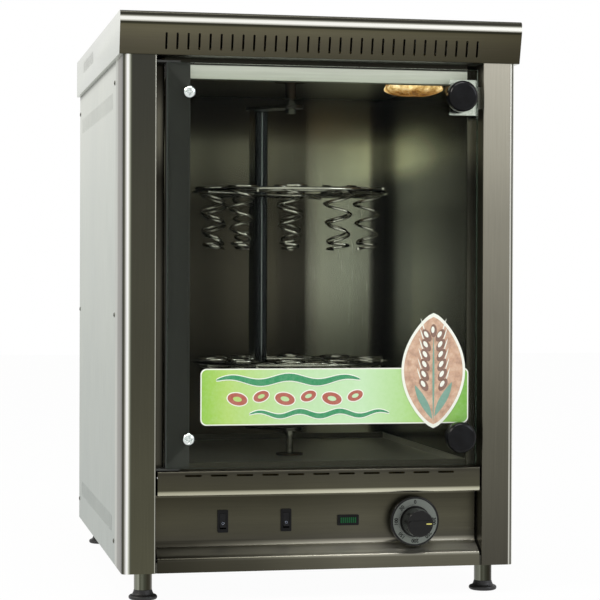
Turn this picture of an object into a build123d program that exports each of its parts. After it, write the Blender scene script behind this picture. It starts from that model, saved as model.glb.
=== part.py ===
from build123d import *
from math import cos, pi, sin, sqrt
import os

os.makedirs("parts", exist_ok=True)

# A counter-top oven for pizza cones: a steel cabinet with a glass door, and a motor-driven
# carousel with two tiers of spiral wire holders. X runs to the right seen from the front,
# Y runs from front to back and Z up. The feet stand at Z = 0.

# Cabinet
BODY_W = 600.0
BODY_D = 710.0
BODY_H = 765.0
SHEET = 1.5
PAN_LIP = 15.0
POST_W = 50.0
POST_CORNER_R = 8.0
POST_SIDE_D = 100.0
FOLD_R = 2.0

# Vent slots in the side and back panels
VENT_SLOT_L = 26.0
VENT_SLOT_W = 3.0
VENT_PITCH = 16.4
VENT_COUNT = 32
VENT_UPPER_DROP = 57.0
VENT_LOWER_H = 58.0
VENT_MID_DEPTH = 400.0
BACK_VENT_COUNT = 24
BACK_VENT_ROWS = 2
BACK_VENT_ROW_GAP = 60.0
BACK_VENT_H = 110.0

# Hood
HOOD_H = 63.0
HOOD_SIDE = 6.0
HOOD_NOSE = 14.0
HOOD_NOSE_H = 18.0
HOOD_NOSE_R = 6.0
HOOD_BOTTOM_REACH = 2.0
HOOD_FLANGE = 20.0
HOOD_FRONT_FLANGE = 42.0
HOOD_SLOT_COUNT = 30
HOOD_SLOT_PITCH = 16.36
HOOD_SLOT_L = 24.0
HOOD_SLOT_W = 3.2
HOOD_SLOT_H = 20.0
HOOD_SIDE_SLOT_COUNT = 11
HOOD_SIDE_SLOT_L = 20.0
HOOD_SIDE_SLOT_DEPTH = 488.0
HOOD_SIDE_SLOT_H = 40.0

# Oven chamber
WALL = 1.2
JAMB_W = 16.0
CHAMBER_FRONT = 36.0
CHAMBER_D = 524.0
FLOOR_H = 149.0
CEILING_DROP = 7.0
FLOOR_RIM = 11.0
RAIL_H = 31.0
RAIL_RETURN = 12.0
INSULATION = 25.0
FLOOR_INSULATION = 30.0
INSULATION_INSET = 8.0

# Door
DOOR_T = 6.0
DOOR_SETBACK = 4.0
DOOR_LEFT_GAP = 17.0
DOOR_RIGHT_GAP = 8.0
DOOR_BOTTOM_GAP = 4.5
DOOR_TOP_GAP = 10.0
HINGE_BAR_W = 36.0
HINGE_BAR_T = 14.0
HINGE_BAR_INSET = 2.0
HINGE_AXIS_INSET = 11.5
HINGE_PIN_R = 4.0
HINGE_PIN_L = 10.0
PIN_END_GAP = 2.0
HINGE_GAP = 0.3
HINGE_BAR_EDGE_R = 2.0
HINGE_PLATE_T = 3.0
HINGE_PLATE_W = 36.0
HINGE_PLATE_FRONT = 8.0
DOOR_SCREW_INSET = 32.0
DOOR_SCREW_END = 43.0
DOOR_SCREW_R = 9.2
DOOR_SCREW_HEAD = 4.5
DOOR_SCREW_FLAT = 0.9
DOOR_SCREW_DEPTH = 7.0
DOOR_SCREW_SHANK_R = 3.0
DOOR_KNOB_R = 23.5
DOOR_KNOB_REACH = 26.0
DOOR_KNOB_WAIST_R = 14.0
DOOR_KNOB_WAIST_L = 8.0
DOOR_KNOB_EDGE_R = 8.0
DOOR_KNOB_INSET = 29.0
DOOR_KNOB_END = 42.0
DOOR_KNOB_STUD_R = 3.0
DOOR_KNOB_NUT_R = 7.0
DOOR_KNOB_NUT_L = 6.0
STRIKE_W = 43.0
STRIKE_H = 54.0
STRIKE_T = 1.5
CATCH_H = 34.0
CATCH_GAP = 0.4
CATCH_W = 11.0
CATCH_TAB_H = 15.0
CATCH_TAB_T = 3.0

# Control panel, a folded sheet with a recess
PANEL_SETBACK = 2.0
PANEL_TOP_H = 150.0
PANEL_NOSE_H = 113.0
PANEL_NOSE_R = 5.0
RECESS = 30.0
RECESS_LOW_H = 36.0
PANEL_LIP_H = 20.0
PANEL_BEND_R = 6.0
PANEL_SIDE_GAP = 3.0
PANEL_SLOT_COUNT = 11
PANEL_SLOT_PITCH = 38.8
PANEL_SLOT_L = 25.0
PANEL_SLOT_W = 3.0
PANEL_SLOT_DROP = 6.5

# Rocker switches and indicator lamp
SWITCH_X = (-145.3, -48.6)
SWITCH_H = 72.0
BEZEL_W = 16.0
BEZEL_H = 34.0
BEZEL_T = 2.5
BEZEL_R = 1.5
SWITCH_BODY_W = 12.6
SWITCH_BODY_H = 30.0
SWITCH_BODY_D = 24.0
ROCKER_R = 13.0
ROCKER_W = 9.0
ROCKER_DIP = 2.5
ROCKER_REACH = 6.5
ROCKER_BACK = 8.0
ROCKER_CLEARANCE = 0.35
ROCKER_TILT = -8.0
INDICATOR_X = 47.4
INDICATOR_H = 70.0
INDICATOR_W = 33.0
INDICATOR_TALL = 16.0
INDICATOR_RIM = 3.0
INDICATOR_BODY_D = 22.0
INDICATOR_WALL = 0.75
INDICATOR_FLOOR = 1.5
LENS_RISE = 1.0
LENS_DEPTH = 4.0

# Thermostat and its dial
DIAL_X = 147.5
DIAL_H = 68.0
DIAL_SKIRT_R = 38.0
DIAL_SKIRT_T = 7.0
DIAL_SKIRT_EDGE_R = 1.75
DIAL_STANDOFF = 13.0
SCALE_OUT_R = 34.5
SCALE_IN_R = 23.8
SCALE_T = 0.8
GRIP_R = 22.0
GRIP_TAPER_R = 20.0
GRIP_REACH = 35.0
GRIP_BAR_W = 9.0
GRIP_BAR_RISE = 3.0
GRIP_EDGE_R = 1.5
DIAL_SHAFT_R = 3.0
DIAL_SHAFT_IN = 12.7
DIAL_SHAFT_BORE = 19.0
DIAL_HUB_R = 9.0
DIAL_HUB_GAP = 6.3
NECK_R = 5.0
NECK_REACH = 4.0
NECK_NUT_R = 8.0
NECK_NUT_T = 2.5
THERMOSTAT_W = 46.0
THERMOSTAT_H = 34.0
THERMOSTAT_D = 38.0

# Feet
FOOT_H = 43.0
FOOT_INSET_X = 36.0
FOOT_INSET_Y = 40.0
SLEEVE_R = 13.5
SLEEVE_L = 28.0
FOOT_STEM_R = 5.0
FOOT_STEM_UP = 32.0
FOOT_PAD_R = 21.5
FOOT_PAD_TOP_R = 17.0
FOOT_PAD_EDGE = 5.0
FOOT_REST_GAP = 0.3

# Carousel
AXIS_DEPTH = 250.0
HOLDERS_PER_TIER = 10
HOLDER_CIRCLE_R = 131.0
HOLDER_PHASE = 258.5
UPPER_TIER_H = 576.0
LOWER_TIER_H = 302.0
HOOP_WIRE_R = 2.5
SPOKE_WIRE_R = 2.0
WELD_DEPTH = 0.8
OUTER_HOOP_R = 158.0
INNER_HOOP_R = 105.0
SPOKE_PITCHES = (-0.5, 1.5, 3.5, 4.5, 6.5, 8.5)
COLUMN_PITCHES = 6.5
COLUMN_REACH = 72.0
COLUMN_W = 36.0
COLUMN_FLANGE = 12.0
COLUMN_T = 2.0
COLUMN_BEND_R = 3.0
ARM_W = 40.0
ARM_T = 5.0
TOP_ARM_DROP = 46.0
BOTTOM_ARM_H = 190.0
HEX_SIDES = 6
NUT_R = 9.0
NUT_T = 6.0
TOP_PIN_R = 5.0
TOP_PIN_HEAD = 8.0
TOP_PIN_UP = 34.0
TOP_BEARING_R = 9.0
TOP_BEARING_GAP = 11.0
TOP_STUD_R = 5.0
TOP_STUD_L = 7.2
TOP_FLANGE_R = 26.0
TOP_FLANGE_T = 4.0
SPINDLE_R = 6.0
SPINDLE_SHOULDER_R = 10.0
SPINDLE_SHOULDER_L = 6.0
FLOOR_BEARING_R = 12.0
FLOOR_FLANGE_R = 22.0
FLOOR_FLANGE_T = 3.0
FLOOR_BEARING_DOWN = 7.0
HUB_R = 12.0
HUB_L = 26.0
HUB_GAP = 10.0
HUB_BORE_L = 13.0
OUTPUT_SHAFT_R = 5.0
RUNNING = 0.05

# Wire spiral of one cone holder: a flat top turn, an open taper and closed end turns
SPIRAL_WIRE_R = 2.0
SPIRAL_TOP_R = 26.0
SPIRAL_REST_R = 25.5
SPIRAL_NECK_R = 21.5
SPIRAL_END_R = 15.0
SPIRAL_FLAT_QUARTERS = 3
SPIRAL_OPEN_QUARTERS = 11
SPIRAL_END_QUARTERS = 4
SPIRAL_OPEN_PITCH = 31.2
SPIRAL_END_PITCH = 9.6
SPIRAL_LEAD = 4.0
WIRE_SEAT = 0.05

# Gear motor
BRACKET_T = 3.0
BRACKET_H = 20.0
BRACKET_W = 110.0
BRACKET_L = 130.0
BRACKET_FOOT = 20.0
GEARBOX_W = 90.0
GEARBOX_D = 62.0
GEARBOX_H = 40.0
GEARBOX_EDGE_R = 6.0
MOTOR_R = 29.0
MOTOR_L = 78.0
SHAFT_DEPTH = 24.0

# Heating element behind the chamber's back wall
ELEMENT_R = 4.0
ELEMENT_LEG_PITCH = 64.0
ELEMENT_LEG_PITCHES = (-1.5, -0.5, 0.5, 1.5)
ELEMENT_TOP_DROP = 58.0
ELEMENT_LOW_H = 190.0
ELEMENT_STANDOFF = 14.0
ELEMENT_BEND_R = 14.0
ELEMENT_TAIL = 15.0
TAIL_HOLE_R = 8.0
CLIP_W = 16.0
CLIP_T = 8.0
CLIP_WALL = 3.0
CLIP_H = (300.0, 600.0)

# Oven lamp in the ceiling
LAMP_INSET = 51.0
LAMP_DEPTH = 165.0
LAMP_W = 98.0
LAMP_D = 72.0
LAMP_DROP = 30.0
LAMP_EDGE_R = 10.0
LAMP_BELLY_R = 5.0
LAMP_RIM_DROP = 5.0
LAMP_GLASS = 3.0
LAMP_FRAME_W = 6.0
LAMP_BAR_W = 6.0
LAMP_HOLDER_R = 17.0
LAMP_HOLDER_UP = 38.0
BULB_R = 11.0
BULB_NECK_R = 7.0
BULB_DROP = 8.0
BULB_NECK_UP = 19.0

# Wiring parts
TERMINAL_X = 150.0
TERMINAL_DEPTH = 640.0
TERMINAL_W = 70.0
TERMINAL_D = 30.0
TERMINAL_H = 22.0
TERMINAL_WAYS = 5
TERMINAL_HOLE_R = 3.5
TERMINAL_HOLE_L = 11.0
TERMINAL_ROW_GAP = 15.0
GLAND_X = 190.0
GLAND_H = 40.0
GLAND_R = 12.0
GLAND_NUT_R = 15.0
GLAND_REACH = 16.0
GLAND_INNER = 10.0
GLAND_HEX_L = 8.0
GLAND_LOCKNUT_L = 5.0
GLAND_BORE_R = 5.0

# Panel screws
SCREW_HEAD_R = 4.0
SCREW_HEAD_T = 1.8
SCREW_SHANK_R = 1.8
SCREW_L = 8.0
SCREW_EDGE = 12.0
SCREW_LOW_H = 35.0
SCREW_MIDDLE_H = 380.0
SCREW_TOP_DROP = 32.0

# Derived places
GRIP_FRONT = RECESS - DIAL_STANDOFF - DIAL_SKIRT_T - GRIP_REACH
FRONT_Y = (-GRIP_FRONT - GLAND_REACH - BODY_D) / 2
BACK_Y = FRONT_Y + BODY_D
BASE_Z = FOOT_H
TOP_Z = BASE_Z + BODY_H
HOOD_TOP_Z = TOP_Z + HOOD_H
HALF_W = BODY_W / 2
INNER_X = HALF_W - SHEET
OPENING_X = HALF_W - POST_W
CHAMBER_X = OPENING_X - JAMB_W
CHAMBER_FRONT_Y = FRONT_Y + CHAMBER_FRONT
CHAMBER_BACK_Y = CHAMBER_FRONT_Y + CHAMBER_D
FLOOR_Z = BASE_Z + FLOOR_H
CEILING_Z = TOP_Z - CEILING_DROP
AXIS_Y = FRONT_Y + AXIS_DEPTH
DOOR_X0 = -OPENING_X + DOOR_LEFT_GAP
DOOR_X1 = OPENING_X - DOOR_RIGHT_GAP
DOOR_Y = FRONT_Y + DOOR_SETBACK
DOOR_BACK_Y = DOOR_Y + DOOR_T
DOOR_Z0 = BASE_Z + PANEL_TOP_H + DOOR_BOTTOM_GAP
DOOR_Z1 = TOP_Z - DOOR_TOP_GAP
HINGE_X = DOOR_X0 + HINGE_AXIS_INSET
HINGE_Y = DOOR_BACK_Y + HINGE_BAR_T / 2
RECESS_Y = FRONT_Y + RECESS
DIAL_Z = BASE_Z + DIAL_H
LAMP_X = CHAMBER_X - LAMP_INSET
LAMP_Y = FRONT_Y + LAMP_DEPTH


def keep(builder, name):
    """Label a finished piece and write its STEP file."""
    builder.part.label = name
    export_step(builder.part, f"parts/{name}.step")


def front_plane(y):
    """A sketch plane that faces the front: X to the right, Z up, at depth y."""
    return Plane.XZ.offset(-y)


def folded_sheet(plane, points, radii, thickness, length):
    """A sheet folded along a profile, with its thickness to the left of the points' order."""
    with BuildPart() as folded:
        with BuildSketch(plane):
            with BuildLine():
                FilletPolyline(*points, radius=radii)
                offset(amount=thickness, side=Side.LEFT)
            make_face()
        extrude(amount=length)
    return folded.part


def box_between(low, high):
    """A box given by its low and high corners."""
    size = [b - a for a, b in zip(low, high)]
    middle = tuple((a + b) / 2 for a, b in zip(low, high))
    with BuildPart() as block:
        with Locations(middle):
            Box(*size)
    return block.part


# Cabinet: base pan
FOOT_X = HALF_W - FOOT_INSET_X
FOOT_Y0 = FRONT_Y + FOOT_INSET_Y
FOOT_Y1 = BACK_Y - FOOT_INSET_Y
FOOT_SPOTS = ((-FOOT_X, FOOT_Y0), (FOOT_X, FOOT_Y0), (-FOOT_X, FOOT_Y1), (FOOT_X, FOOT_Y1))
PAN_Y0 = FRONT_Y + PANEL_SETBACK + SHEET
PAN_Y1 = BACK_Y - SHEET

with BuildPart() as base_pan:
    add(box_between((-INNER_X, PAN_Y0, BASE_Z), (INNER_X, PAN_Y1, BASE_Z + PAN_LIP)))
    fillet(base_pan.edges().filter_by(Axis.Z).group_by(Axis.Y)[0], radius=POST_CORNER_R)
    add(
        box_between(
            (-INNER_X + SHEET, PAN_Y0 + SHEET, BASE_Z + SHEET),
            (INNER_X - SHEET, PAN_Y1 - SHEET, BASE_Z + PAN_LIP),
        ),
        mode=Mode.SUBTRACT,
    )
    with BuildSketch(Plane.XY.offset(BASE_Z)):
        with Locations(*FOOT_SPOTS):
            Circle(FOOT_STEM_R + RUNNING)
    extrude(amount=SHEET, mode=Mode.SUBTRACT)
    add(
        box_between(
            (-OPENING_X - SHEET, PAN_Y0, BASE_Z),
            (-OPENING_X, CHAMBER_FRONT_Y + WALL, BASE_Z + PAN_LIP),
        ),
        mode=Mode.SUBTRACT,
    )
    add(
        box_between(
            (OPENING_X, PAN_Y0, BASE_Z),
            (OPENING_X + SHEET, CHAMBER_FRONT_Y + WALL, BASE_Z + PAN_LIP),
        ),
        mode=Mode.SUBTRACT,
    )
keep(base_pan, "base_pan")

# Cabinet: front posts, each one sheet folded round the corner
with BuildPart() as front_left_post:
    add(
        folded_sheet(
            Plane.XY.offset(BASE_Z),
            [
                (-HALF_W, FRONT_Y + POST_SIDE_D),
                (-HALF_W, FRONT_Y),
                (-OPENING_X, FRONT_Y),
                (-OPENING_X, CHAMBER_FRONT_Y + WALL),
            ],
            [POST_CORNER_R, FOLD_R],
            SHEET,
            BODY_H,
        )
    )
keep(front_left_post, "front_left_post")

with BuildPart() as front_right_post:
    mirror(front_left_post.part, about=Plane.YZ)
keep(front_right_post, "front_right_post")

# Cabinet: side panels with two bands of vent slots
PANEL_Y0 = FRONT_Y + POST_SIDE_D
VENT_Y = FRONT_Y + VENT_MID_DEPTH
SCREW_ROWS = (BASE_Z + SCREW_LOW_H, BASE_Z + SCREW_MIDDLE_H, TOP_Z - SCREW_TOP_DROP)
SCREW_SPOTS = [
    (y, z) for y in (PANEL_Y0 + SCREW_EDGE, BACK_Y - SCREW_EDGE) for z in SCREW_ROWS
]

with BuildPart() as right_side_panel:
    add(box_between((INNER_X, PANEL_Y0, BASE_Z), (HALF_W, BACK_Y, TOP_Z)))
    with BuildSketch(Plane.YZ.offset(INNER_X)):
        with Locations((VENT_Y, TOP_Z - VENT_UPPER_DROP), (VENT_Y, BASE_Z + VENT_LOWER_H)):
            with GridLocations(VENT_PITCH, VENT_PITCH, VENT_COUNT, 1):
                SlotOverall(VENT_SLOT_L, VENT_SLOT_W, rotation=90)
        with Locations(*SCREW_SPOTS):
            Circle(SCREW_SHANK_R)
    extrude(amount=SHEET, mode=Mode.SUBTRACT)
keep(right_side_panel, "right_side_panel")

with BuildPart() as left_side_panel:
    mirror(right_side_panel.part, about=Plane.YZ)
keep(left_side_panel, "left_side_panel")

# Cabinet: back panel with vent slots and the cord entry
with BuildPart() as back_panel:
    add(box_between((-INNER_X, BACK_Y - SHEET, BASE_Z), (INNER_X, BACK_Y, TOP_Z)))
    with BuildSketch(front_plane(BACK_Y - SHEET)):
        with Locations((0, BASE_Z + BACK_VENT_H)):
            with GridLocations(VENT_PITCH, BACK_VENT_ROW_GAP, BACK_VENT_COUNT, BACK_VENT_ROWS):
                SlotOverall(VENT_SLOT_L, VENT_SLOT_W, rotation=90)
        with Locations((GLAND_X, BASE_Z + GLAND_H)):
            Circle(GLAND_R)
    extrude(amount=-SHEET, mode=Mode.SUBTRACT)
keep(back_panel, "back_panel")

# Cabinet: panel screws of both sides, one group
with BuildPart() as panel_screws:
    with BuildSketch(Plane.YZ.offset(HALF_W)):
        with Locations(*SCREW_SPOTS):
            Circle(SCREW_HEAD_R)
    extrude(amount=SCREW_HEAD_T)
    fillet(panel_screws.edges().group_by(Axis.X)[-1], radius=SCREW_HEAD_T / 2)
    with BuildSketch(Plane.YZ.offset(HALF_W)):
        with Locations(*SCREW_SPOTS):
            Circle(SCREW_SHANK_R)
    extrude(amount=-SCREW_L)
    mirror(about=Plane.YZ)
keep(panel_screws, "panel_screws")

# Hood: a hollow canopy whose front slopes back under a rounded nose
NOSE_Y = FRONT_Y - HOOD_NOSE
HOOD_X = HALF_W + HOOD_SIDE
HOOD_POINTS = [
    (BACK_Y, TOP_Z),
    (BACK_Y, HOOD_TOP_Z),
    (NOSE_Y, HOOD_TOP_Z),
    (NOSE_Y, HOOD_TOP_Z - HOOD_NOSE_H),
    (FRONT_Y - HOOD_BOTTOM_REACH, TOP_Z),
]
HOOD_RADII = [FOLD_R, FOLD_R, HOOD_NOSE_R, HOOD_NOSE_R, FOLD_R]


def hood_block(inset):
    """The hood's outline along its width, drawn in on every side by the inset."""
    with BuildPart() as block:
        with BuildSketch(Plane.YZ.offset(-HOOD_X + inset)):
            with BuildLine():
                FilletPolyline(*HOOD_POINTS, radius=HOOD_RADII, close=True)
            make_face()
            if inset:
                offset(amount=-inset)
        extrude(amount=2 * (HOOD_X - inset))
    return block.part


with BuildPart() as hood:
    add(hood_block(0))
    add(hood_block(SHEET), mode=Mode.SUBTRACT)
    add(
        box_between(
            (-HALF_W + HOOD_FLANGE, FRONT_Y + HOOD_FRONT_FLANGE, TOP_Z),
            (HALF_W - HOOD_FLANGE, BACK_Y - HOOD_FLANGE, TOP_Z + SHEET),
        ),
        mode=Mode.SUBTRACT,
    )
    with BuildSketch(front_plane(NOSE_Y)):
        with Locations((0, TOP_Z + HOOD_SLOT_H)):
            with GridLocations(HOOD_SLOT_PITCH, HOOD_SLOT_PITCH, HOOD_SLOT_COUNT, 1):
                SlotOverall(HOOD_SLOT_L, HOOD_SLOT_W, rotation=90)
    extrude(amount=-2 * HOOD_NOSE, mode=Mode.SUBTRACT)
    with BuildSketch(Plane.YZ.offset(-HOOD_X)):
        with Locations((FRONT_Y + HOOD_SIDE_SLOT_DEPTH, TOP_Z + HOOD_SIDE_SLOT_H)):
            with GridLocations(HOOD_SLOT_PITCH, HOOD_SLOT_PITCH, HOOD_SIDE_SLOT_COUNT, 1):
                SlotOverall(HOOD_SIDE_SLOT_L, HOOD_SLOT_W, rotation=90)
    extrude(amount=2 * HOOD_X, mode=Mode.SUBTRACT)
keep(hood, "hood")

# Chamber: side walls, each with a flange that turns out to its post
with BuildPart() as chamber_left_wall:
    add(
        folded_sheet(
            Plane.XY.offset(FLOOR_Z),
            [
                (-OPENING_X, CHAMBER_FRONT_Y),
                (-CHAMBER_X, CHAMBER_FRONT_Y),
                (-CHAMBER_X, CHAMBER_BACK_Y),
            ],
            [FOLD_R],
            WALL,
            CEILING_Z - FLOOR_Z,
        )
    )
keep(chamber_left_wall, "chamber_left_wall")

with BuildPart() as chamber_right_wall:
    mirror(chamber_left_wall.part, about=Plane.YZ)
keep(chamber_right_wall, "chamber_right_wall")

# Chamber: plain back wall
with BuildPart() as chamber_back_wall:
    add(
        box_between(
            (-CHAMBER_X - WALL, CHAMBER_BACK_Y, FLOOR_Z),
            (CHAMBER_X + WALL, CHAMBER_BACK_Y + WALL, CEILING_Z),
        )
    )
keep(chamber_back_wall, "chamber_back_wall")

# Chamber: ceiling with holes for the carousel's top bearing and the lamp holder
with BuildPart() as chamber_ceiling:
    add(
        box_between(
            (-CHAMBER_X - WALL, CHAMBER_FRONT_Y, CEILING_Z),
            (CHAMBER_X + WALL, CHAMBER_BACK_Y + WALL, CEILING_Z + WALL),
        )
    )
    with BuildSketch(Plane.XY.offset(CEILING_Z)):
        with Locations((0, AXIS_Y)):
            Circle(TOP_STUD_R)
        with Locations((LAMP_X, LAMP_Y)):
            Circle(LAMP_HOLDER_R)
    extrude(amount=WALL, mode=Mode.SUBTRACT)
keep(chamber_ceiling, "chamber_ceiling")

# Chamber: floor pan with an upturned rim
with BuildPart() as chamber_floor:
    add(
        box_between(
            (-CHAMBER_X, CHAMBER_FRONT_Y, FLOOR_Z),
            (CHAMBER_X, CHAMBER_BACK_Y, FLOOR_Z + FLOOR_RIM),
        )
    )
    add(
        box_between(
            (-CHAMBER_X + WALL, CHAMBER_FRONT_Y + WALL, FLOOR_Z + WALL),
            (CHAMBER_X - WALL, CHAMBER_BACK_Y - WALL, FLOOR_Z + FLOOR_RIM),
        ),
        mode=Mode.SUBTRACT,
    )
    with BuildSketch(Plane.XY.offset(FLOOR_Z)):
        with Locations((0, AXIS_Y)):
            Circle(FLOOR_BEARING_R)
    extrude(amount=WALL, mode=Mode.SUBTRACT)
keep(chamber_floor, "chamber_floor")

# Chamber: rail over the door opening, with its lower edge turned back
with BuildPart() as upper_front_rail:
    add(
        folded_sheet(
            Plane.YZ.offset(-CHAMBER_X),
            [
                (CHAMBER_FRONT_Y - WALL, TOP_Z),
                (CHAMBER_FRONT_Y - WALL, TOP_Z - RAIL_H),
                (CHAMBER_FRONT_Y + RAIL_RETURN, TOP_Z - RAIL_H),
            ],
            [FOLD_R],
            WALL,
            2 * CHAMBER_X,
        )
    )
keep(upper_front_rail, "upper_front_rail")

# Chamber: mineral wool slabs on five sides, one group; the back one leaves room for the element
LEG_X = [pitches * ELEMENT_LEG_PITCH for pitches in ELEMENT_LEG_PITCHES]
ELEMENT_Y = CHAMBER_BACK_Y + WALL + ELEMENT_STANDOFF
ELEMENT_LOW_Z = BASE_Z + ELEMENT_LOW_H
ELEMENT_ENDS = [(LEG_X[0], ELEMENT_LOW_Z), (LEG_X[-1], ELEMENT_LOW_Z)]
CLIP_BACK_Y = ELEMENT_Y + ELEMENT_R + CLIP_WALL
SLAB_Y0 = CHAMBER_FRONT_Y + INSULATION_INSET
SLAB_Y1 = CHAMBER_BACK_Y - INSULATION_INSET
SLAB_Z0 = FLOOR_Z + INSULATION_INSET
SLAB_Z1 = CEILING_Z - INSULATION_INSET
SLAB_X = CHAMBER_X - INSULATION_INSET
SIDE_SLAB_X0 = CHAMBER_X + WALL
with BuildPart() as insulation:
    add(
        box_between(
            (SIDE_SLAB_X0, SLAB_Y0, SLAB_Z0),
            (SIDE_SLAB_X0 + INSULATION, SLAB_Y1, SLAB_Z1),
        )
    )
    mirror(about=Plane.YZ)
    add(
        box_between(
            (-SLAB_X, CLIP_BACK_Y, SLAB_Z0),
            (SLAB_X, CLIP_BACK_Y + INSULATION, SLAB_Z1),
        )
    )
    with BuildSketch(front_plane(CLIP_BACK_Y)):
        with Locations(*ELEMENT_ENDS):
            Circle(TAIL_HOLE_R)
    extrude(amount=-INSULATION, mode=Mode.SUBTRACT)
    add(
        box_between(
            (-SLAB_X, SLAB_Y0, CEILING_Z + WALL),
            (SLAB_X, SLAB_Y1, CEILING_Z + WALL + INSULATION),
        )
    )
    add(
        box_between(
            (-SLAB_X, SLAB_Y0, FLOOR_Z - FLOOR_INSULATION),
            (SLAB_X, SLAB_Y1, FLOOR_Z),
        )
    )
    with BuildSketch(Plane.XY.offset(FLOOR_Z - FLOOR_INSULATION)):
        with Locations((0, AXIS_Y)):
            Circle(FLOOR_BEARING_R)
    extrude(amount=FLOOR_INSULATION, mode=Mode.SUBTRACT)
    with BuildSketch(Plane.XY.offset(CEILING_Z + WALL)):
        with Locations((LAMP_X, LAMP_Y)):
            Circle(LAMP_HOLDER_R)
        with Locations((0, AXIS_Y)):
            Circle(TOP_STUD_R)
    extrude(amount=INSULATION, mode=Mode.SUBTRACT)
keep(insulation, "insulation")

# Control panel: folded sheet with slots, a rounded nose and a recess for the controls
PANEL_X = OPENING_X - PANEL_SIDE_GAP
PANEL_FRONT_Y = FRONT_Y + PANEL_SETBACK
SWITCH_SPOTS = [(x, BASE_Z + SWITCH_H) for x in SWITCH_X]
INDICATOR_SPOT = (INDICATOR_X, BASE_Z + INDICATOR_H)
INDICATOR_BODY_W = INDICATOR_W - 2 * INDICATOR_RIM
INDICATOR_BODY_H = INDICATOR_TALL - 2 * INDICATOR_RIM
INDICATOR_BORE_W = INDICATOR_BODY_W - 2 * INDICATOR_WALL
INDICATOR_BORE_H = INDICATOR_BODY_H - 2 * INDICATOR_WALL
with BuildPart() as control_panel:
    add(
        folded_sheet(
            Plane.YZ.offset(-PANEL_X),
            [
                (CHAMBER_FRONT_Y, BASE_Z + PANEL_TOP_H),
                (PANEL_FRONT_Y, BASE_Z + PANEL_TOP_H),
                (PANEL_FRONT_Y, BASE_Z + PANEL_NOSE_H),
                (RECESS_Y, BASE_Z + PANEL_NOSE_H),
                (RECESS_Y, BASE_Z + RECESS_LOW_H),
                (PANEL_FRONT_Y, BASE_Z + PANEL_LIP_H),
                (PANEL_FRONT_Y, BASE_Z),
            ],
            [FOLD_R, PANEL_NOSE_R, FOLD_R, PANEL_BEND_R, PANEL_BEND_R],
            SHEET,
            2 * PANEL_X,
        )
    )
    with BuildSketch(front_plane(PANEL_FRONT_Y)):
        with Locations((0, BASE_Z + PANEL_TOP_H - PANEL_SLOT_DROP)):
            with GridLocations(PANEL_SLOT_PITCH, PANEL_SLOT_PITCH, PANEL_SLOT_COUNT, 1):
                SlotOverall(PANEL_SLOT_L, PANEL_SLOT_W)
    extrude(amount=-SHEET, mode=Mode.SUBTRACT)
    with BuildSketch(front_plane(RECESS_Y)):
        with Locations(*SWITCH_SPOTS):
            Rectangle(SWITCH_BODY_W, SWITCH_BODY_H)
        with Locations(INDICATOR_SPOT):
            Rectangle(INDICATOR_BODY_W, INDICATOR_BODY_H)
        with Locations((DIAL_X, DIAL_Z)):
            Circle(NECK_R)
    extrude(amount=-SHEET, mode=Mode.SUBTRACT)
keep(control_panel, "control_panel")

# Rocker switches: the rocker turns about a level axis inside a round cavity
PIVOT_Y = RECESS_Y - BEZEL_T + ROCKER_R - ROCKER_REACH


def switch_housing(x, z):
    """Bezel and body of one switch, hollowed by the rocker's own cylinder."""
    with BuildPart() as housing:
        with BuildSketch(front_plane(RECESS_Y)):
            with Locations((x, z)):
                RectangleRounded(BEZEL_W, BEZEL_H, BEZEL_R)
        extrude(amount=BEZEL_T)
        with BuildSketch(front_plane(RECESS_Y)):
            with Locations((x, z)):
                Rectangle(SWITCH_BODY_W, SWITCH_BODY_H)
        extrude(amount=-SWITCH_BODY_D)
        half = ROCKER_W / 2 + ROCKER_CLEARANCE
        with BuildSketch(Plane.YZ.offset(x - half)):
            with Locations((PIVOT_Y, z)):
                Circle(ROCKER_R + ROCKER_CLEARANCE)
        extrude(amount=2 * half, mode=Mode.SUBTRACT)
    return housing.part


def rocker(x, z):
    """Rocker with a dished front, held inside its swing circle and tipped to one side."""
    front = sqrt(ROCKER_R**2 - ROCKER_BACK**2)
    tilt = ROCKER_TILT * pi / 180
    side = Plane((x, PIVOT_Y, z), x_dir=(0, cos(tilt), sin(tilt)), z_dir=(1, 0, 0))
    with BuildPart() as lever:
        with BuildSketch(side.offset(-ROCKER_W / 2)):
            with BuildLine():
                Polyline(
                    (ROCKER_BACK, -ROCKER_BACK),
                    (-ROCKER_BACK, -front),
                    (-ROCKER_BACK + ROCKER_DIP, 0),
                    (-ROCKER_BACK, front),
                    (ROCKER_BACK, ROCKER_BACK),
                    close=True,
                )
            make_face()
        extrude(amount=ROCKER_W)
    return lever.part


with BuildPart() as switch_housings:
    for spot in SWITCH_SPOTS:
        add(switch_housing(*spot))
keep(switch_housings, "switch_housings")

for title, spot in zip(("left_rocker", "right_rocker"), SWITCH_SPOTS):
    with BuildPart() as rocker_piece:
        add(rocker(*spot))
    keep(rocker_piece, title)

# Indicator lamp: black bezel and a green lens
with BuildPart() as indicator_bezel:
    with BuildSketch(front_plane(RECESS_Y)):
        with Locations(INDICATOR_SPOT):
            RectangleRounded(INDICATOR_W, INDICATOR_TALL, BEZEL_R)
    extrude(amount=BEZEL_T)
    with BuildSketch(front_plane(RECESS_Y)):
        with Locations(INDICATOR_SPOT):
            Rectangle(INDICATOR_BODY_W, INDICATOR_BODY_H)
    extrude(amount=-INDICATOR_BODY_D)
    with BuildSketch(front_plane(RECESS_Y - BEZEL_T)):
        with Locations(INDICATOR_SPOT):
            Rectangle(INDICATOR_BORE_W, INDICATOR_BORE_H)
    extrude(amount=-(INDICATOR_BODY_D + BEZEL_T - INDICATOR_FLOOR), mode=Mode.SUBTRACT)
keep(indicator_bezel, "indicator_bezel")

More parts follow.
